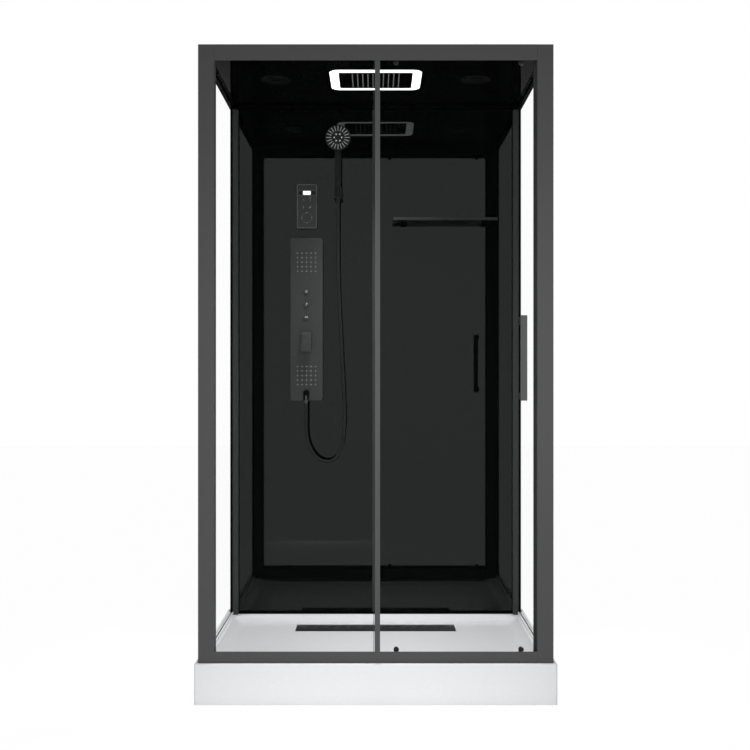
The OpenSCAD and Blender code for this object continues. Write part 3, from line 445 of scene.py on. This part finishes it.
def make_tray():
    """The tray: apron, rounded lip, ledge, soft cove, floor with the gutter, and the shell's underside."""
    low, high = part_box("shower_tray")
    lip, ledge, floor = high.z, 122 * MM, 100 * MM
    gutter, gutter_end, under = 86 * MM, 81 * MM, 95 * MM
    wall, soft, apron_corner = 5 * MM, 5 * MM, 8 * MM
    lip_w, lip_soft, lip_corner = 11.8 * MM, 4 * MM, 4 * MM
    ledge_in, ledge_corner = 32 * MM, 66 * MM
    cove_in, cove_w, cove_steps, cove_bend = 34 * MM, 45 * MM, 12, 2.2
    mesh = bmesh.new()

    def outline(inset, radius, z):
        """The tray's outline, brought in, at one height."""
        near = (low.x + inset, low.y + inset)
        far = (high.x - inset, high.y - inset)
        return at_height(rect_loop(near, far, radius), z)

    loops = [outline(wall, 3 * MM, under), outline(wall, 3 * MM, low.z), outline(0, apron_corner, low.z)]
    for sine, cosine in quarter_turns(4):
        loops.append(outline(soft * (1 - cosine), apron_corner, lip - soft * (1 - sine)))
    for sine, cosine in quarter_turns(4):
        loops.append(outline(lip_w - lip_soft * (1 - sine), lip_corner, lip - lip_soft * (1 - cosine)))
    loops.append(outline(lip_w, lip_corner, ledge))
    loops.append(outline(ledge_in, ledge_corner, ledge))
    for step in range(cove_steps + 1):
        share = step / cove_steps
        drop = (ledge - floor) * (1 - (1 - share) ** cove_bend)
        corner = (70 - 40 * share) * MM
        loops.append(outline(cove_in + cove_w * share, corner, ledge - drop))
    rings = loft(mesh, loops, False, False)

    cover_low, cover_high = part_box("drain_cover")
    gap, hole_r = 1.5 * MM, 45 * MM
    hole = circle_loop((0, (cover_low.y + cover_high.y) / 2), hole_r, 48)
    near = (cover_low.x - gap, cover_low.y - gap)
    far = (cover_high.x + gap, cover_high.y + gap)
    inner = rect_loop(near, far, 2 * MM)
    outer = rect_loop((near[0] - wall, near[1] - wall), (far[0] + wall, far[1] + wall), 3 * MM)
    gutter_rings = loft(mesh, [at_height(inner, floor), at_height(inner, gutter)], False, False)
    drop_rings = loft(mesh, [at_height(hole, gutter), at_height(hole, gutter_end)], False, False)
    box_rings = loft(mesh, [at_height(outer, gutter_end), at_height(outer, under)], False, False)
    fill_between(mesh, rings[-1], gutter_rings[0])
    fill_between(mesh, gutter_rings[1], drop_rings[0])
    fill_between(mesh, drop_rings[1], box_rings[0])
    fill_between(mesh, box_rings[1], rings[0])
    tray = piece_from("tray", mesh, "cabin", ["acrylic"], ["shower_tray"])

    # The wide opening in the rear apron, where the waste pipe leaves
    way_half_w, way_front, way_back = 540 * MM, 390 * MM, 405 * MM
    way_low, way_top = -10 * MM, 80 * MM
    opening = rect_loop((-way_half_w, way_front), (way_half_w, way_back), 1 * MM)
    way = bmesh.new()
    loft(way, [at_height(opening, z) for z in (way_low, way_top)])
    cut(tray, way)


make_tray()


# Frame

for node in ("front_post_left", "front_post_right", "front_top_rail", "front_bottom_rail"):
    dressed(node, "cabin", "frame_coat", 1.2 * MM)
for node in ("rear_column_left", "rear_column_right", "rear_middle_column"):
    dressed(node, "cabin", "rear_coat", 1 * MM)
dressed("fixed_glass_upright", "cabin", "anodised", 1 * MM)


def make_channels():
    """The channels under the glass, white at the sides and black at the rear."""
    channels = dressed("glass_channels", "cabin", "acrylic", 0.8 * MM)
    channels.data.materials.append(MATERIALS["rail_black"])
    into_column = 5 * MM
    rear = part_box("rear_column_right")[0].y + into_column
    for face in channels.data.polygons:
        if face.center.y > rear:
            face.material_index = 1


make_channels()
dressed("door_handle", "door", "anodised", 2 * MM)
dressed("handle_standoffs", "door", "fitting_plastic", 1 * MM)


# Glass

def pane(node, body, faces="clear_glass", edges="glass_edge"):
    """A pane with ground edges, its faces and its edges each with a finish."""
    low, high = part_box(node)
    ground = 1 * MM
    mesh = bmesh.new()
    place = Matrix.Translation((low + high) / 2) @ Matrix.Diagonal((*(high - low), 1))
    bmesh.ops.create_cube(mesh, size=1, matrix=place)
    bmesh.ops.bevel(mesh, geom=mesh.edges, offset=ground, segments=1, affect="EDGES")
    thin = min(range(3), key=lambda axis: (high - low)[axis])
    mesh.normal_update()
    for face in mesh.faces:
        face.material_index = 0 if abs(face.normal[thin]) > SQUARE_ON else 1
    piece_from(node + "_pane", mesh, body, [faces, edges], [node])


for node, body in (("fixed_glass", "cabin"), ("side_glass_left", "cabin"), ("side_glass_right", "cabin"),
                   ("door_glass", "door")):
    pane(node, body, edges="rail_black" if node.startswith("side") else "glass_edge")
for node in ("back_glass_left", "back_glass_right"):
    pane(node, "cabin", "black_glass", "black_glass")
pane("shelf", "cabin", "shelf_glass", "shelf_edge")


def make_glazing_seals():
    """Black lips on both sides of each side pane where it enters its rear column."""
    low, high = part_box("side_glass_right")
    column_low, column_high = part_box("rear_column_right")
    lip_w, lip_depth, air = 1.6 * MM, 3.5 * MM, 0.05 * MM
    foot, top = column_low.z + 13 * MM, column_high.z - 1 * MM
    mesh = bmesh.new()
    for start, end in ((low.x - lip_w, low.x - air), (high.x + air, column_high.x)):
        for side in (1, -1):
            near, far = sorted((side * start, side * end))
            loop = rect_loop((near, column_low.y - lip_depth), (far, column_low.y - air), 0.6 * MM)
            loft(mesh, [at_height(loop, z) for z in (foot, top)])
    piece_from("glazing_seals", mesh, "cabin", ["rail_black"])


make_glazing_seals()


def make_door_seals():
    """The seals on the door's two edges, black against the post and clear beside the upright."""
    seals = dressed("door_seals", "door", "seal_rubber", 0.3 * MM)
    seals.data.materials.append(MATERIALS["clear_seal"])
    low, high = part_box("door_seals")
    middle = (low.x + high.x) / 2
    for face in seals.data.polygons:
        if face.center.x < middle:
            face.material_index = 1


make_door_seals()


# Drain cover

def make_cover():
    """The long drain cover with a rounded rim and a row of slanted slits along its far side."""
    low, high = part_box("drain_cover")
    near, far = (low.x, low.y), (high.x, high.y)
    rim = 1.5 * MM
    mesh = bmesh.new()
    loops = [at_height(rect_loop(near, far, 2 * MM), low.z)]
    for sine, cosine in quarter_turns(3):
        edge = inset_rect(near, far, 3 * MM, rim * (1 - cosine))
        loops.append(at_height(edge, high.z - rim * (1 - sine)))
    loft(mesh, loops)
    cover = piece_from("drain_cover_plate", mesh, "drain_cover", ["cover_coat"],
                       ["drain_cover"])

    half_l, half_w, end_r = 17 * MM, 2.5 * MM, 2.4 * MM
    pitch, slant, row = 43 * MM, math.radians(34), (low.y + high.y) / 2 + 20 * MM
    shape = rect_loop((-half_l, -half_w), (half_l, half_w), end_r)
    slits = bmesh.new()
    for step in range(-6, 7):
        place = Matrix.Translation((step * pitch, row, high.z)) @ Matrix.Rotation(slant, 4, "Z")
        loft(slits, [[place @ point for point in at_height(shape, z)] for z in (-6 * MM, 2 * MM)])
    cut(cover, slits)


make_cover()


# Shower column

def make_column():
    """The column's cover, a shell open at the back, with holes for the buttons and the mixer."""
    low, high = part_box("column_cover")
    mesh = bmesh.new()
    plate_y(mesh, (low.x, low.z), (high.x, high.z), 10 * MM, low.y, high.y, 2 * MM)
    column = piece_from("column_shell", mesh, "cabin", ["column_gloss"], ["column_cover"])
    wall, foot, past = 3 * MM, 33 * MM, 5 * MM
    hollow = bmesh.new()
    plate_y(hollow, (low.x + wall, low.z + foot), (high.x - wall, high.z - wall), 7 * MM,
            low.y + wall, high.y + past, 1 * MM)
    cut(column, hollow)
    holes = bmesh.new()
    radii = {"button_top": 11.2, "button_middle": 11.2, "button_bottom": 11.2, "mixer_collar": 14.9}
    for node, radius in radii.items():
        near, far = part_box(node)
        place = facing_front(COLUMN_X, low.y - 2 * MM, (near.z + far.z) / 2)
        lathe(holes, in_metres([(radius, 0), (radius, -8)]), place, 48)
    cut(column, holes)


make_column()


def make_jets():
    """Two grids of soft jets, each a dome with a dark disc on its tip, painted shade standing for the
    bore's hole.
    """
    low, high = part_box("jet_pads")
    front, pitch, half_pad = 346 * MM, 18.2 * MM, 42.9 * MM
    dome = in_metres([(2.1, -2), (2.1, 0.4), (1.8, 1.1), (1.2, 1.5), (0.7, 1.4)])
    bore = in_metres([(0.55, 1.2), (0.5, 1.46)])
    mesh = bmesh.new()
    painted_bore_shades = bmesh.new()
    for middle in (low.z + half_pad, high.z - half_pad):
        for across in range(-2, 3):
            for up in range(-2, 3):
                place = facing_front(COLUMN_X + across * pitch, front, middle + up * pitch)
                lathe(mesh, dome, place, 16)
                # A dark disc on each jet's tip is painted shade standing for the inside of its bore, not a
                # hole
                lathe(painted_bore_shades, bore, place, 8)
    piece_from("jets", mesh, "cabin", ["jet_rubber"], ["jet_pads"])
    piece_from("jet_bore_painted_shade", painted_bore_shades, "cabin", ["spray_black"])


make_jets()


def make_button(node, draw):
    """A round push button with a shallow dish and a light sign."""
    low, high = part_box(node)
    middle = (low.z + high.z) / 2
    place = facing_front(COLUMN_X, low.y, middle)
    mesh = bmesh.new()
    profile = [(11, -17), (11, -1.5), (10.6, -0.5), (9.6, 0), (8.8, -0.3), (7, -0.9), (3, -1.1)]
    lathe(mesh, in_metres(profile), place, 40)
    piece_from(node + "_cap", mesh, node, ["button_gloss"], [node])
    sign = bmesh.new()
    draw(sign, low.y, middle)
    piece_from(node + "_sign", sign, node, ["icon_white"])


def flat_shape(mesh, points, front, middle):
    """A thin raised shape from points in millimetres round the button's middle."""
    loops = []
    for depth in (1.4 * MM, 0.1 * MM):
        loops.append([Vector((COLUMN_X + x * MM, front + depth, middle + z * MM)) for x, z in points])
    loft(mesh, loops)


def draw_rain(mesh, front, middle):
    """A rain head with drops."""
    flat_shape(mesh, [(-5.5, 0.5), (5.5, 0.5), (2, 5), (-2, 5)], front, middle)
    for x in (-4, 0, 4):
        flat_shape(mesh, [(x - 1, -5), (x + 1, -5), (x + 1, -1.2), (x - 1, -1.2)], front, middle)


def draw_handset(mesh, front, middle):
    """A hand shower."""
    flat_shape(mesh, circle_loop((1, 2.8), 3.4, 20), front, middle)
    flat_shape(mesh, [(-3, -6), (-0.6, -6), (1.2, 0.4), (-1.4, 0.8)], front, middle)


def draw_jets(mesh, front, middle):
    """Two body jets."""
    for x in (-3.6, 3.6):
        flat_shape(mesh, [(x - 2.6, -3.2), (x + 2.6, -3.2), (x + 2.6, 3.2), (x - 2.6, 3.2)], front, middle)
    flat_shape(mesh, [(-1.2, -0.9), (1.2, -0.9), (1.2, 0.9), (-1.2, 0.9)], front, middle)


make_button("button_top", draw_rain)
make_button("button_middle", draw_handset)
make_button("button_bottom", draw_jets)


def make_knob():
    """The mixer's lever knob: a rounded block, its upper back edge cut away so that it can tilt."""
    low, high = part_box("mixer_knob")
    near, far = (low.x, low.z), (high.x, high.z)
    back, chamfer, soft, crown = 334 * MM, 2 * MM, 6 * MM, 1 * MM
    foot_drop, cut_drop, cut_depth = 20 * MM, 17 * MM, 12 * MM
    mesh = bmesh.new()
    foot = rect_loop((low.x + chamfer, low.z + chamfer), (high.x - chamfer, high.z - foot_drop), 5 * MM)
    loops = [at_depth(foot, back)]
    loops.append(at_depth(rect_loop(near, (high.x, high.z - cut_drop), 6 * MM), back - chamfer))
    loops.append(at_depth(rect_loop(near, far, 7 * MM), back - cut_depth))
    for sine, cosine in quarter_turns(6):
        outline = inset_rect(near, far, 8 * MM, soft * (1 - cosine))
        loops.append(at_depth(outline, low.y + crown + soft * (1 - sine)))
    loops.append(at_depth(inset_rect(near, far, 14 * MM, 12 * MM), low.y))
    loft(mesh, loops)
    stem = facing_front(COLUMN_X, back - 1 * MM, (low.z + high.z) / 2)
    lathe(mesh, in_metres([(4.4, 0), (4.4, -12)]), stem, 24)
    piece_from("knob", mesh, "mixer_knob", ["knob_gloss"], ["mixer_knob"], sharp=50)


make_knob()


def make_outlet():
    """The hose outlet: an arch on the column, painted near black as the shade of a recess behind the
    connector, with a metal connector under it.
    """
    low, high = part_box("hose_outlet")
    arch_h, arch_r = 42 * MM, 10.9 * MM
    arch = ((low.x, high.z - arch_h), (high.x, high.z), arch_r)
    mesh = bmesh.new()
    loops = [at_depth(rect_loop(*arch), high.y), at_depth(rect_loop(*arch), low.y + 3 * MM)]
    loops.append(at_depth(inset_rect(*arch, 2 * MM), low.y + 1 * MM))
    loft(mesh, loops)
    # The arch's near black is painted shade, standing for a shaded recess round the connector
    piece_from("outlet_arch", mesh, "cabin", ["arch_painted_shade"], ["hose_outlet"])
    nut = bmesh.new()
    place = Matrix.Translation((COLUMN_X, GRIP_Y, low.z))
    profile = [(6.8, 0), (7.6, 1), (7.6, 9), (7.2, 10), (8.2, 11), (8.4, 28), (7, 33), (3, 35)]
    lathe(nut, in_metres(profile), place, 32)
    piece_from("outlet_nut", nut, "cabin", ["outlet_metal"])


make_outlet()


# Handset

def make_handset():
    """The handset: a round head on a handle that tapers into its holder, with ribs and dots on its face."""
    low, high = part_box("handset_body")
    head_r = 51 * MM
    head_z = high.z - head_r
    mesh = bmesh.new()
    handle = Matrix.Translation((HANDSET_X, GRIP_Y, 0))
    profile = [(7.6, 0), (8.4, 1), (10.6, 50), (12.6, 63), (13.4, 71), (13.4, 165), (12.8, 190), (12, 205)]
    lathe(mesh, [(radius * MM, low.z + along * MM) for radius, along in profile], handle, 32)
    head = facing_front(HANDSET_X, 0, head_z)
    # Radius, and minus the depth along Y, as the head's axis points to the front
    head_profile = [(47.5, -312), (48, -307.4), (49.2, -307), (50.6, -308), (51, -311), (50.6, -318),
                    (48, -323), (43, -327), (32, -328.6), (12, -329)]
    lathe(mesh, in_metres(head_profile), head, 72)
    piece_from("handset_shell", mesh, "handset", ["handset_gloss"], ["handset_body"],
               sharp=50)

    disc = bmesh.new()
    lathe(disc, in_metres([(47.8, -312), (47.8, -308.6), (46.6, -308), (12, -307.6)]), head, 72)
    piece_from("spray_disc", disc, "handset", ["spray_black"], ["handset_face"])

    ribs = bmesh.new()
    count, start, end, half_w = 20, 26.8 * MM, 46.4 * MM, 1.05 * MM
    root, crest = 308.6 * MM, 306.4 * MM
    shape = rect_loop((start, -half_w), (end, half_w), 1 * MM)
    middle = Matrix.Translation((HANDSET_X, 0, head_z))
    for step in range(count):
        turned = middle @ Matrix.Rotation(math.tau * step / count, 4, "Y")
        loft(ribs, [[turned @ point for point in at_depth(shape, depth)] for depth in (root, crest)])
    piece_from("spray_ribs", ribs, "handset", ["rib_grey"])

    dots = bmesh.new()
    dots_r = 14.8 * MM
    dot = in_metres([(2.9, -308), (2.9, -306.2), (1.9, -305.4)])
    for x, z in circle_loop((HANDSET_X, head_z), dots_r, 6):
        lathe(dots, dot, facing_front(x, 0, z), 16)
    piece_from("spray_dots", dots, "handset", ["dot_white"])


make_handset()
dressed("handset_holder", "cabin", "handset_gloss", 1 * MM)


# Control panel

def ring_y(mesh, centre, outer, inner, front):
    """A thin raised ring on a plate, between an outer and an inner radius."""
    loops = []
    for radius, depth in ((outer, 0.2), (outer, -0.5), (inner, -0.5), (inner, 0.2)):
        loops.append(at_depth(circle_loop(centre, radius, 48), front + depth * MM))
    rings = loft(mesh, loops, False, False)
    skin(mesh, [rings[-1], rings[0]])


def bar_y(mesh, centre, half_w, half_h, turn, front):
    """A thin raised bar on a plate, turned in its plane."""
    place = Matrix.Translation((centre[0], 0, centre[1])) @ Matrix.Rotation(math.radians(turn), 4, "Y")
    shape = rect_loop((-half_w, -half_h), (half_w, half_h), half_w * 0.9)
    loft(mesh, [[place @ point for point in at_depth(shape, front + depth * MM)] for depth in (0.2, -0.5)])


def make_panel():
    """The control panel: a plate with a light rim, a header band, a lit display, touch signs and a pad."""
    low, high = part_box("control_housing")
    front = low.y
    middle_x = (low.x + high.x) / 2
    middle_z = (low.z + high.z) / 2
    mesh = bmesh.new()
    plate_y(mesh, (low.x, low.z), (high.x, high.z), 7 * MM, front, high.y, 1 * MM)
    nodes = ["control_housing", "control_keys"]
    piece_from("panel_plate", mesh, "cabin", ["key_gloss"], nodes)

    trim = bmesh.new()
    inset, rim_w, band_half_h = 0.5 * MM, 2.6 * MM, 0.9
    band_y(trim, (low.x + inset, low.z + inset), (high.x - inset, high.z - inset), 6.5 * MM, rim_w,
           front - inset, front + inset)
    for z in (44.5, 63.5):
        near = (low.x + 3 * MM, middle_z + (z - band_half_h) * MM)
        far = (high.x - 3 * MM, middle_z + (z + band_half_h) * MM)
        plate_y(trim, near, far, 0.5 * MM, front - 0.4 * MM, front + 0.5 * MM, 0.2 * MM, 1)
    piece_from("panel_trim", trim, "cabin", ["trim_grey"])

    glass = bmesh.new()
    half_w, foot, top = 34 * MM, middle_z + 46 * MM, middle_z + 62 * MM
    plate_y(glass, (middle_x - half_w, foot), (middle_x + half_w, top), 1 * MM,
            front - 0.3 * MM, front + 0.5 * MM, 0.2 * MM, 1)
    piece_from("display_glass", glass, "cabin", ["dark_gloss"], ["control_display"])
    lit = bmesh.new()
    half_w, foot, top = 15.3 * MM, middle_z + 46.4 * MM, middle_z + 61.6 * MM
    plate_y(lit, (middle_x - half_w, foot), (middle_x + half_w, top), 1 * MM,
            front - 0.6 * MM, front, 0.2 * MM, 1)
    piece_from("display_lit", lit, "cabin", ["display_glow"])
    lamp = bmesh.new()
    lamp_x, lamp_z = -264.5 * MM, 1807 * MM
    lathe(lamp, in_metres([(1.8, 0), (1.8, 0.6), (1, 0.9)]), facing_front(lamp_x, front, lamp_z), 16)
    piece_from("panel_lamp", lamp, "cabin", ["led_red"])

    signs = bmesh.new()
    dull = bmesh.new()
    left, right = middle_x - 13.5 * MM, middle_x + 13.5 * MM
    lower, upper = middle_z - 4 * MM, middle_z + 26 * MM
    bar_y(signs, (left, lower), 1.1 * MM, 5 * MM, 0, front)
    bar_y(signs, (right, lower), 1.7 * MM, 5.6 * MM, 48, front)
    for x in (left, right):
        ring_y(dull, (x, upper), 4.6 * MM, 3.2 * MM, front)
        lathe(dull, in_metres([(1.2, -0.2), (1.2, 0.5)]), facing_front(x, front, upper), 12)
    pad = (middle_x, middle_z - 46.3 * MM)
    ring_y(dull, pad, 20.6 * MM, 19.4 * MM, front)
    for x, z in ((0, 20), (0, -20), (-20, 0), (20, 0)):
        turn = 90 if x == 0 else 0
        bar_y(signs, (pad[0] + x * MM, pad[1] + z * MM), 1.6 * MM, 3.4 * MM, turn, front)
    piece_from("panel_signs", signs, "cabin", ["icon_white"])
    piece_from("panel_rings", dull, "cabin", ["mark_grey"])


make_panel()


# Ceiling

def make_ring_light():
    """The ring light's cover, a flat frame with rounded lower edges, and the dark tray that closes it."""
    low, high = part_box("light_ring")
    side_band, front_band, back_band = 33 * MM, 34 * MM, 25 * MM
    soft = 0.7 * MM
    bottom = low.z
    top = bottom + 1.5 * MM
    outer = ((low.x, low.y), (high.x, high.y), 35 * MM)
    inner = ((low.x + side_band, low.y + front_band), (high.x - side_band, high.y - back_band), 8 * MM)
    mesh = bmesh.new()
    loops = [at_height(rect_loop(*outer), top)]
    for sine, cosine in quarter_turns(3):
        loops.append(at_height(inset_rect(*outer, soft * (1 - cosine)), bottom + soft * (1 - sine)))
    for sine, cosine in quarter_turns(3):
        loops.append(at_height(inset_rect(*inner, soft * (sine - 1)), bottom + soft * (1 - cosine)))
    loops.append(at_height(rect_loop(*inner), top))
    rings = loft(mesh, loops, False, False)
    skin(mesh, [rings[-1], rings[0]])
    finishes = ["lamp_cover", "lamp_edge"]
    ring = piece_from("ring_light", mesh, "cabin", finishes, ["light_ring"])
    for face in ring.data.polygons:
        face.material_index = 0 if face.normal.z < -SQUARE_ON else 1

    tray = bmesh.new()
    neck = inset_rect(*outer, 5.4 * MM)
    mouth = inset_rect(*inner, -6.5 * MM)
    lid = inset_rect(*outer, 6 * MM)
    foot = top + 0.1 * MM
    loops = [at_height(neck, foot), at_height(neck, high.z - 0.6 * MM), at_height(lid, high.z)]
    loops += [at_height(mouth, high.z), at_height(mouth, foot)]
    rings = loft(tray, loops, False, False)
    skin(tray, [rings[-1], rings[0]])
    piece_from("ring_light_tray", tray, "cabin", ["housing_plastic"])


make_ring_light()


def make_rain_strips():
    """Ten soft strips through the rain plate, each with a row of small nozzles."""
    low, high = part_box("rain_nozzles")
    strips, nozzles, half_w = 10, 16, 1.75 * MM
    pitch = (high.x - low.x - 2 * half_w) / (strips - 1)
    tip = in_metres([(0.5, 0), (0.9, 0.1), (1.2, 0.5)])
    mesh = bmesh.new()
    for step in range(strips):
        middle = low.x + half_w + step * pitch
        near, far = (middle - half_w, low.y), (middle + half_w, high.y)
        plate_z(mesh, near, far, 1.6 * MM, low.z + 0.4 * MM, high.z, 0.5 * MM)
        for along in range(nozzles):
            place = Matrix.Translation((middle, low.y + (6 + along * 11) * MM, low.z))
            lathe(mesh, tip, place, 10)
    piece_from("rain_strips", mesh, "cabin", ["nozzle_rubber"], ["rain_nozzles"])


make_rain_strips()


def make_ceiling_disc(node):
    """A round ceiling grille: a raised rim round a shallow dish with three narrow grooves."""
    low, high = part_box(node)
    middle = (low + high) / 2
    place = Matrix.Translation((middle.x, middle.y, low.z))
    rim = (high.x - low.x) / 2
    mesh = bmesh.new()
    profile = [(rim - 1 * MM, 3 * MM), (rim, 2.2 * MM), (rim - 0.6 * MM, 0.8 * MM), (rim - 3 * MM, 0),
               (rim - 6 * MM, 0.6 * MM), (rim - 9 * MM, 1.4 * MM)]
    for edge in (39, 29, 19):
        profile += in_metres([(edge, 1.5), (edge - 0.3, 2.2), (edge - 1.7, 2.2), (edge - 2, 1.5)])
    profile += in_metres([(6, 1.6), (1, 1.7)])
    lathe(mesh, profile, place, 64)
    piece_from(node + "_disc", mesh, "cabin", ["grille_gloss"], [node])


make_ceiling_disc("fan_grille")
make_ceiling_disc("speaker_grille")


# Floor, world and lamps

def white_to_view(tree):
    """One where a camera, mirror or glass ray looks, nought for light that falls on the part."""
    path = tree.nodes.new("ShaderNodeLightPath")
    first = tree.nodes.new("ShaderNodeMath")
    second = tree.nodes.new("ShaderNodeMath")
    for made in (first, second):
        made.operation = "MAXIMUM"
    tree.links.new(path.outputs["Is Camera Ray"], first.inputs[0])
    tree.links.new(path.outputs["Is Glossy Ray"], first.inputs[1])
    tree.links.new(first.outputs[0], second.inputs[0])
    tree.links.new(path.outputs["Is Transmission Ray"], second.inputs[1])
    return second.outputs[0]


def make_floor():
    """A wide pale floor that looks white and keeps a soft shadow."""
    glow, view_share = 1.06, 0.9
    mesh = bmesh.new()
    rings = [rect_loop((-reach, -reach), (reach, reach), 0.5) for reach in (12.0, 3.0)]
    loft(mesh, [at_height(ring, 0) for ring in rings], False, True)
    bmesh.ops.recalc_face_normals(mesh, faces=mesh.faces)
    data = bpy.data.meshes.new("floor")
    mesh.to_mesh(data)
    mesh.free()
    material = bpy.data.materials.new("floor_white")
    material.use_nodes = True
    tree = material.node_tree
    tree.nodes.clear()
    output = tree.nodes.new("ShaderNodeOutputMaterial")
    pale = add_node(tree, "ShaderNodeBsdfDiffuse", Color=(0.9, 0.9, 0.9, 1))
    light = add_node(tree, "ShaderNodeEmission", Color=(1, 1, 1, 1), Strength=glow)
    share = tree.nodes.new("ShaderNodeMath")
    share.operation = "MULTIPLY"
    share.inputs[1].default_value = view_share
    mixed = tree.nodes.new("ShaderNodeMixShader")
    tree.links.new(white_to_view(tree), share.inputs[0])
    tree.links.new(share.outputs[0], mixed.inputs["Fac"])
    tree.links.new(pale.outputs[0], mixed.inputs[1])
    tree.links.new(light.outputs[0], mixed.inputs[2])
    tree.links.new(mixed.outputs[0], output.inputs["Surface"])
    data.materials.append(material)
    floor = bpy.data.objects.new("floor", data)
    bpy.context.scene.collection.objects.link(floor)


def make_world():
    """A world that looks white and lights the part with less."""
    world = bpy.data.worlds.new("world")
    world.use_nodes = True
    tree = world.node_tree
    tree.nodes.clear()
    output = tree.nodes.new("ShaderNodeOutputWorld")
    soft = add_node(tree, "ShaderNodeBackground", Color=(1, 1, 1, 1), Strength=0.35)
    white = add_node(tree, "ShaderNodeBackground", Color=(1, 1, 1, 1), Strength=1.0)
    mixed = tree.nodes.new("ShaderNodeMixShader")
    tree.links.new(white_to_view(tree), mixed.inputs["Fac"])
    tree.links.new(soft.outputs[0], mixed.inputs[1])
    tree.links.new(white.outputs[0], mixed.inputs[2])
    tree.links.new(mixed.outputs[0], output.inputs["Surface"])
    bpy.context.scene.world = world


def make_lamp(name, place, target, width, height, power, fan=180):
    """A soft area lamp that no camera or mirror sees, its light within a fan of this many degrees."""
    data = bpy.data.lights.new(name, "AREA")
    data.shape = "RECTANGLE"
    data.size = width
    data.size_y = height
    data.energy = power
    data.spread = math.radians(fan)
    lamp = bpy.data.objects.new(name, data)
    lamp.location = place
    lamp.rotation_euler = (Vector(target) - Vector(place)).to_track_quat("-Z", "Y").to_euler()
    lamp.visible_camera = False
    lamp.visible_glossy = False
    bpy.context.scene.collection.objects.link(lamp)


make_floor()
make_world()
make_lamp("front_lamp", (0.15, -1.5, 1.2), (0.15, 0, 1.2), width=0.6, height=0.5, power=9.4)
make_lamp("low_lamp", (-0.35, -2.2, 0.15), (-0.35, 0, 0.15), width=0.6, height=0.3, power=7)
make_lamp("roof_lamp", (0, 0.005, 2.15), (0, 0.005, 0), width=0.3, height=0.2, power=5, fan=80)

bpy.context.scene.view_settings.view_transform = "Standard"
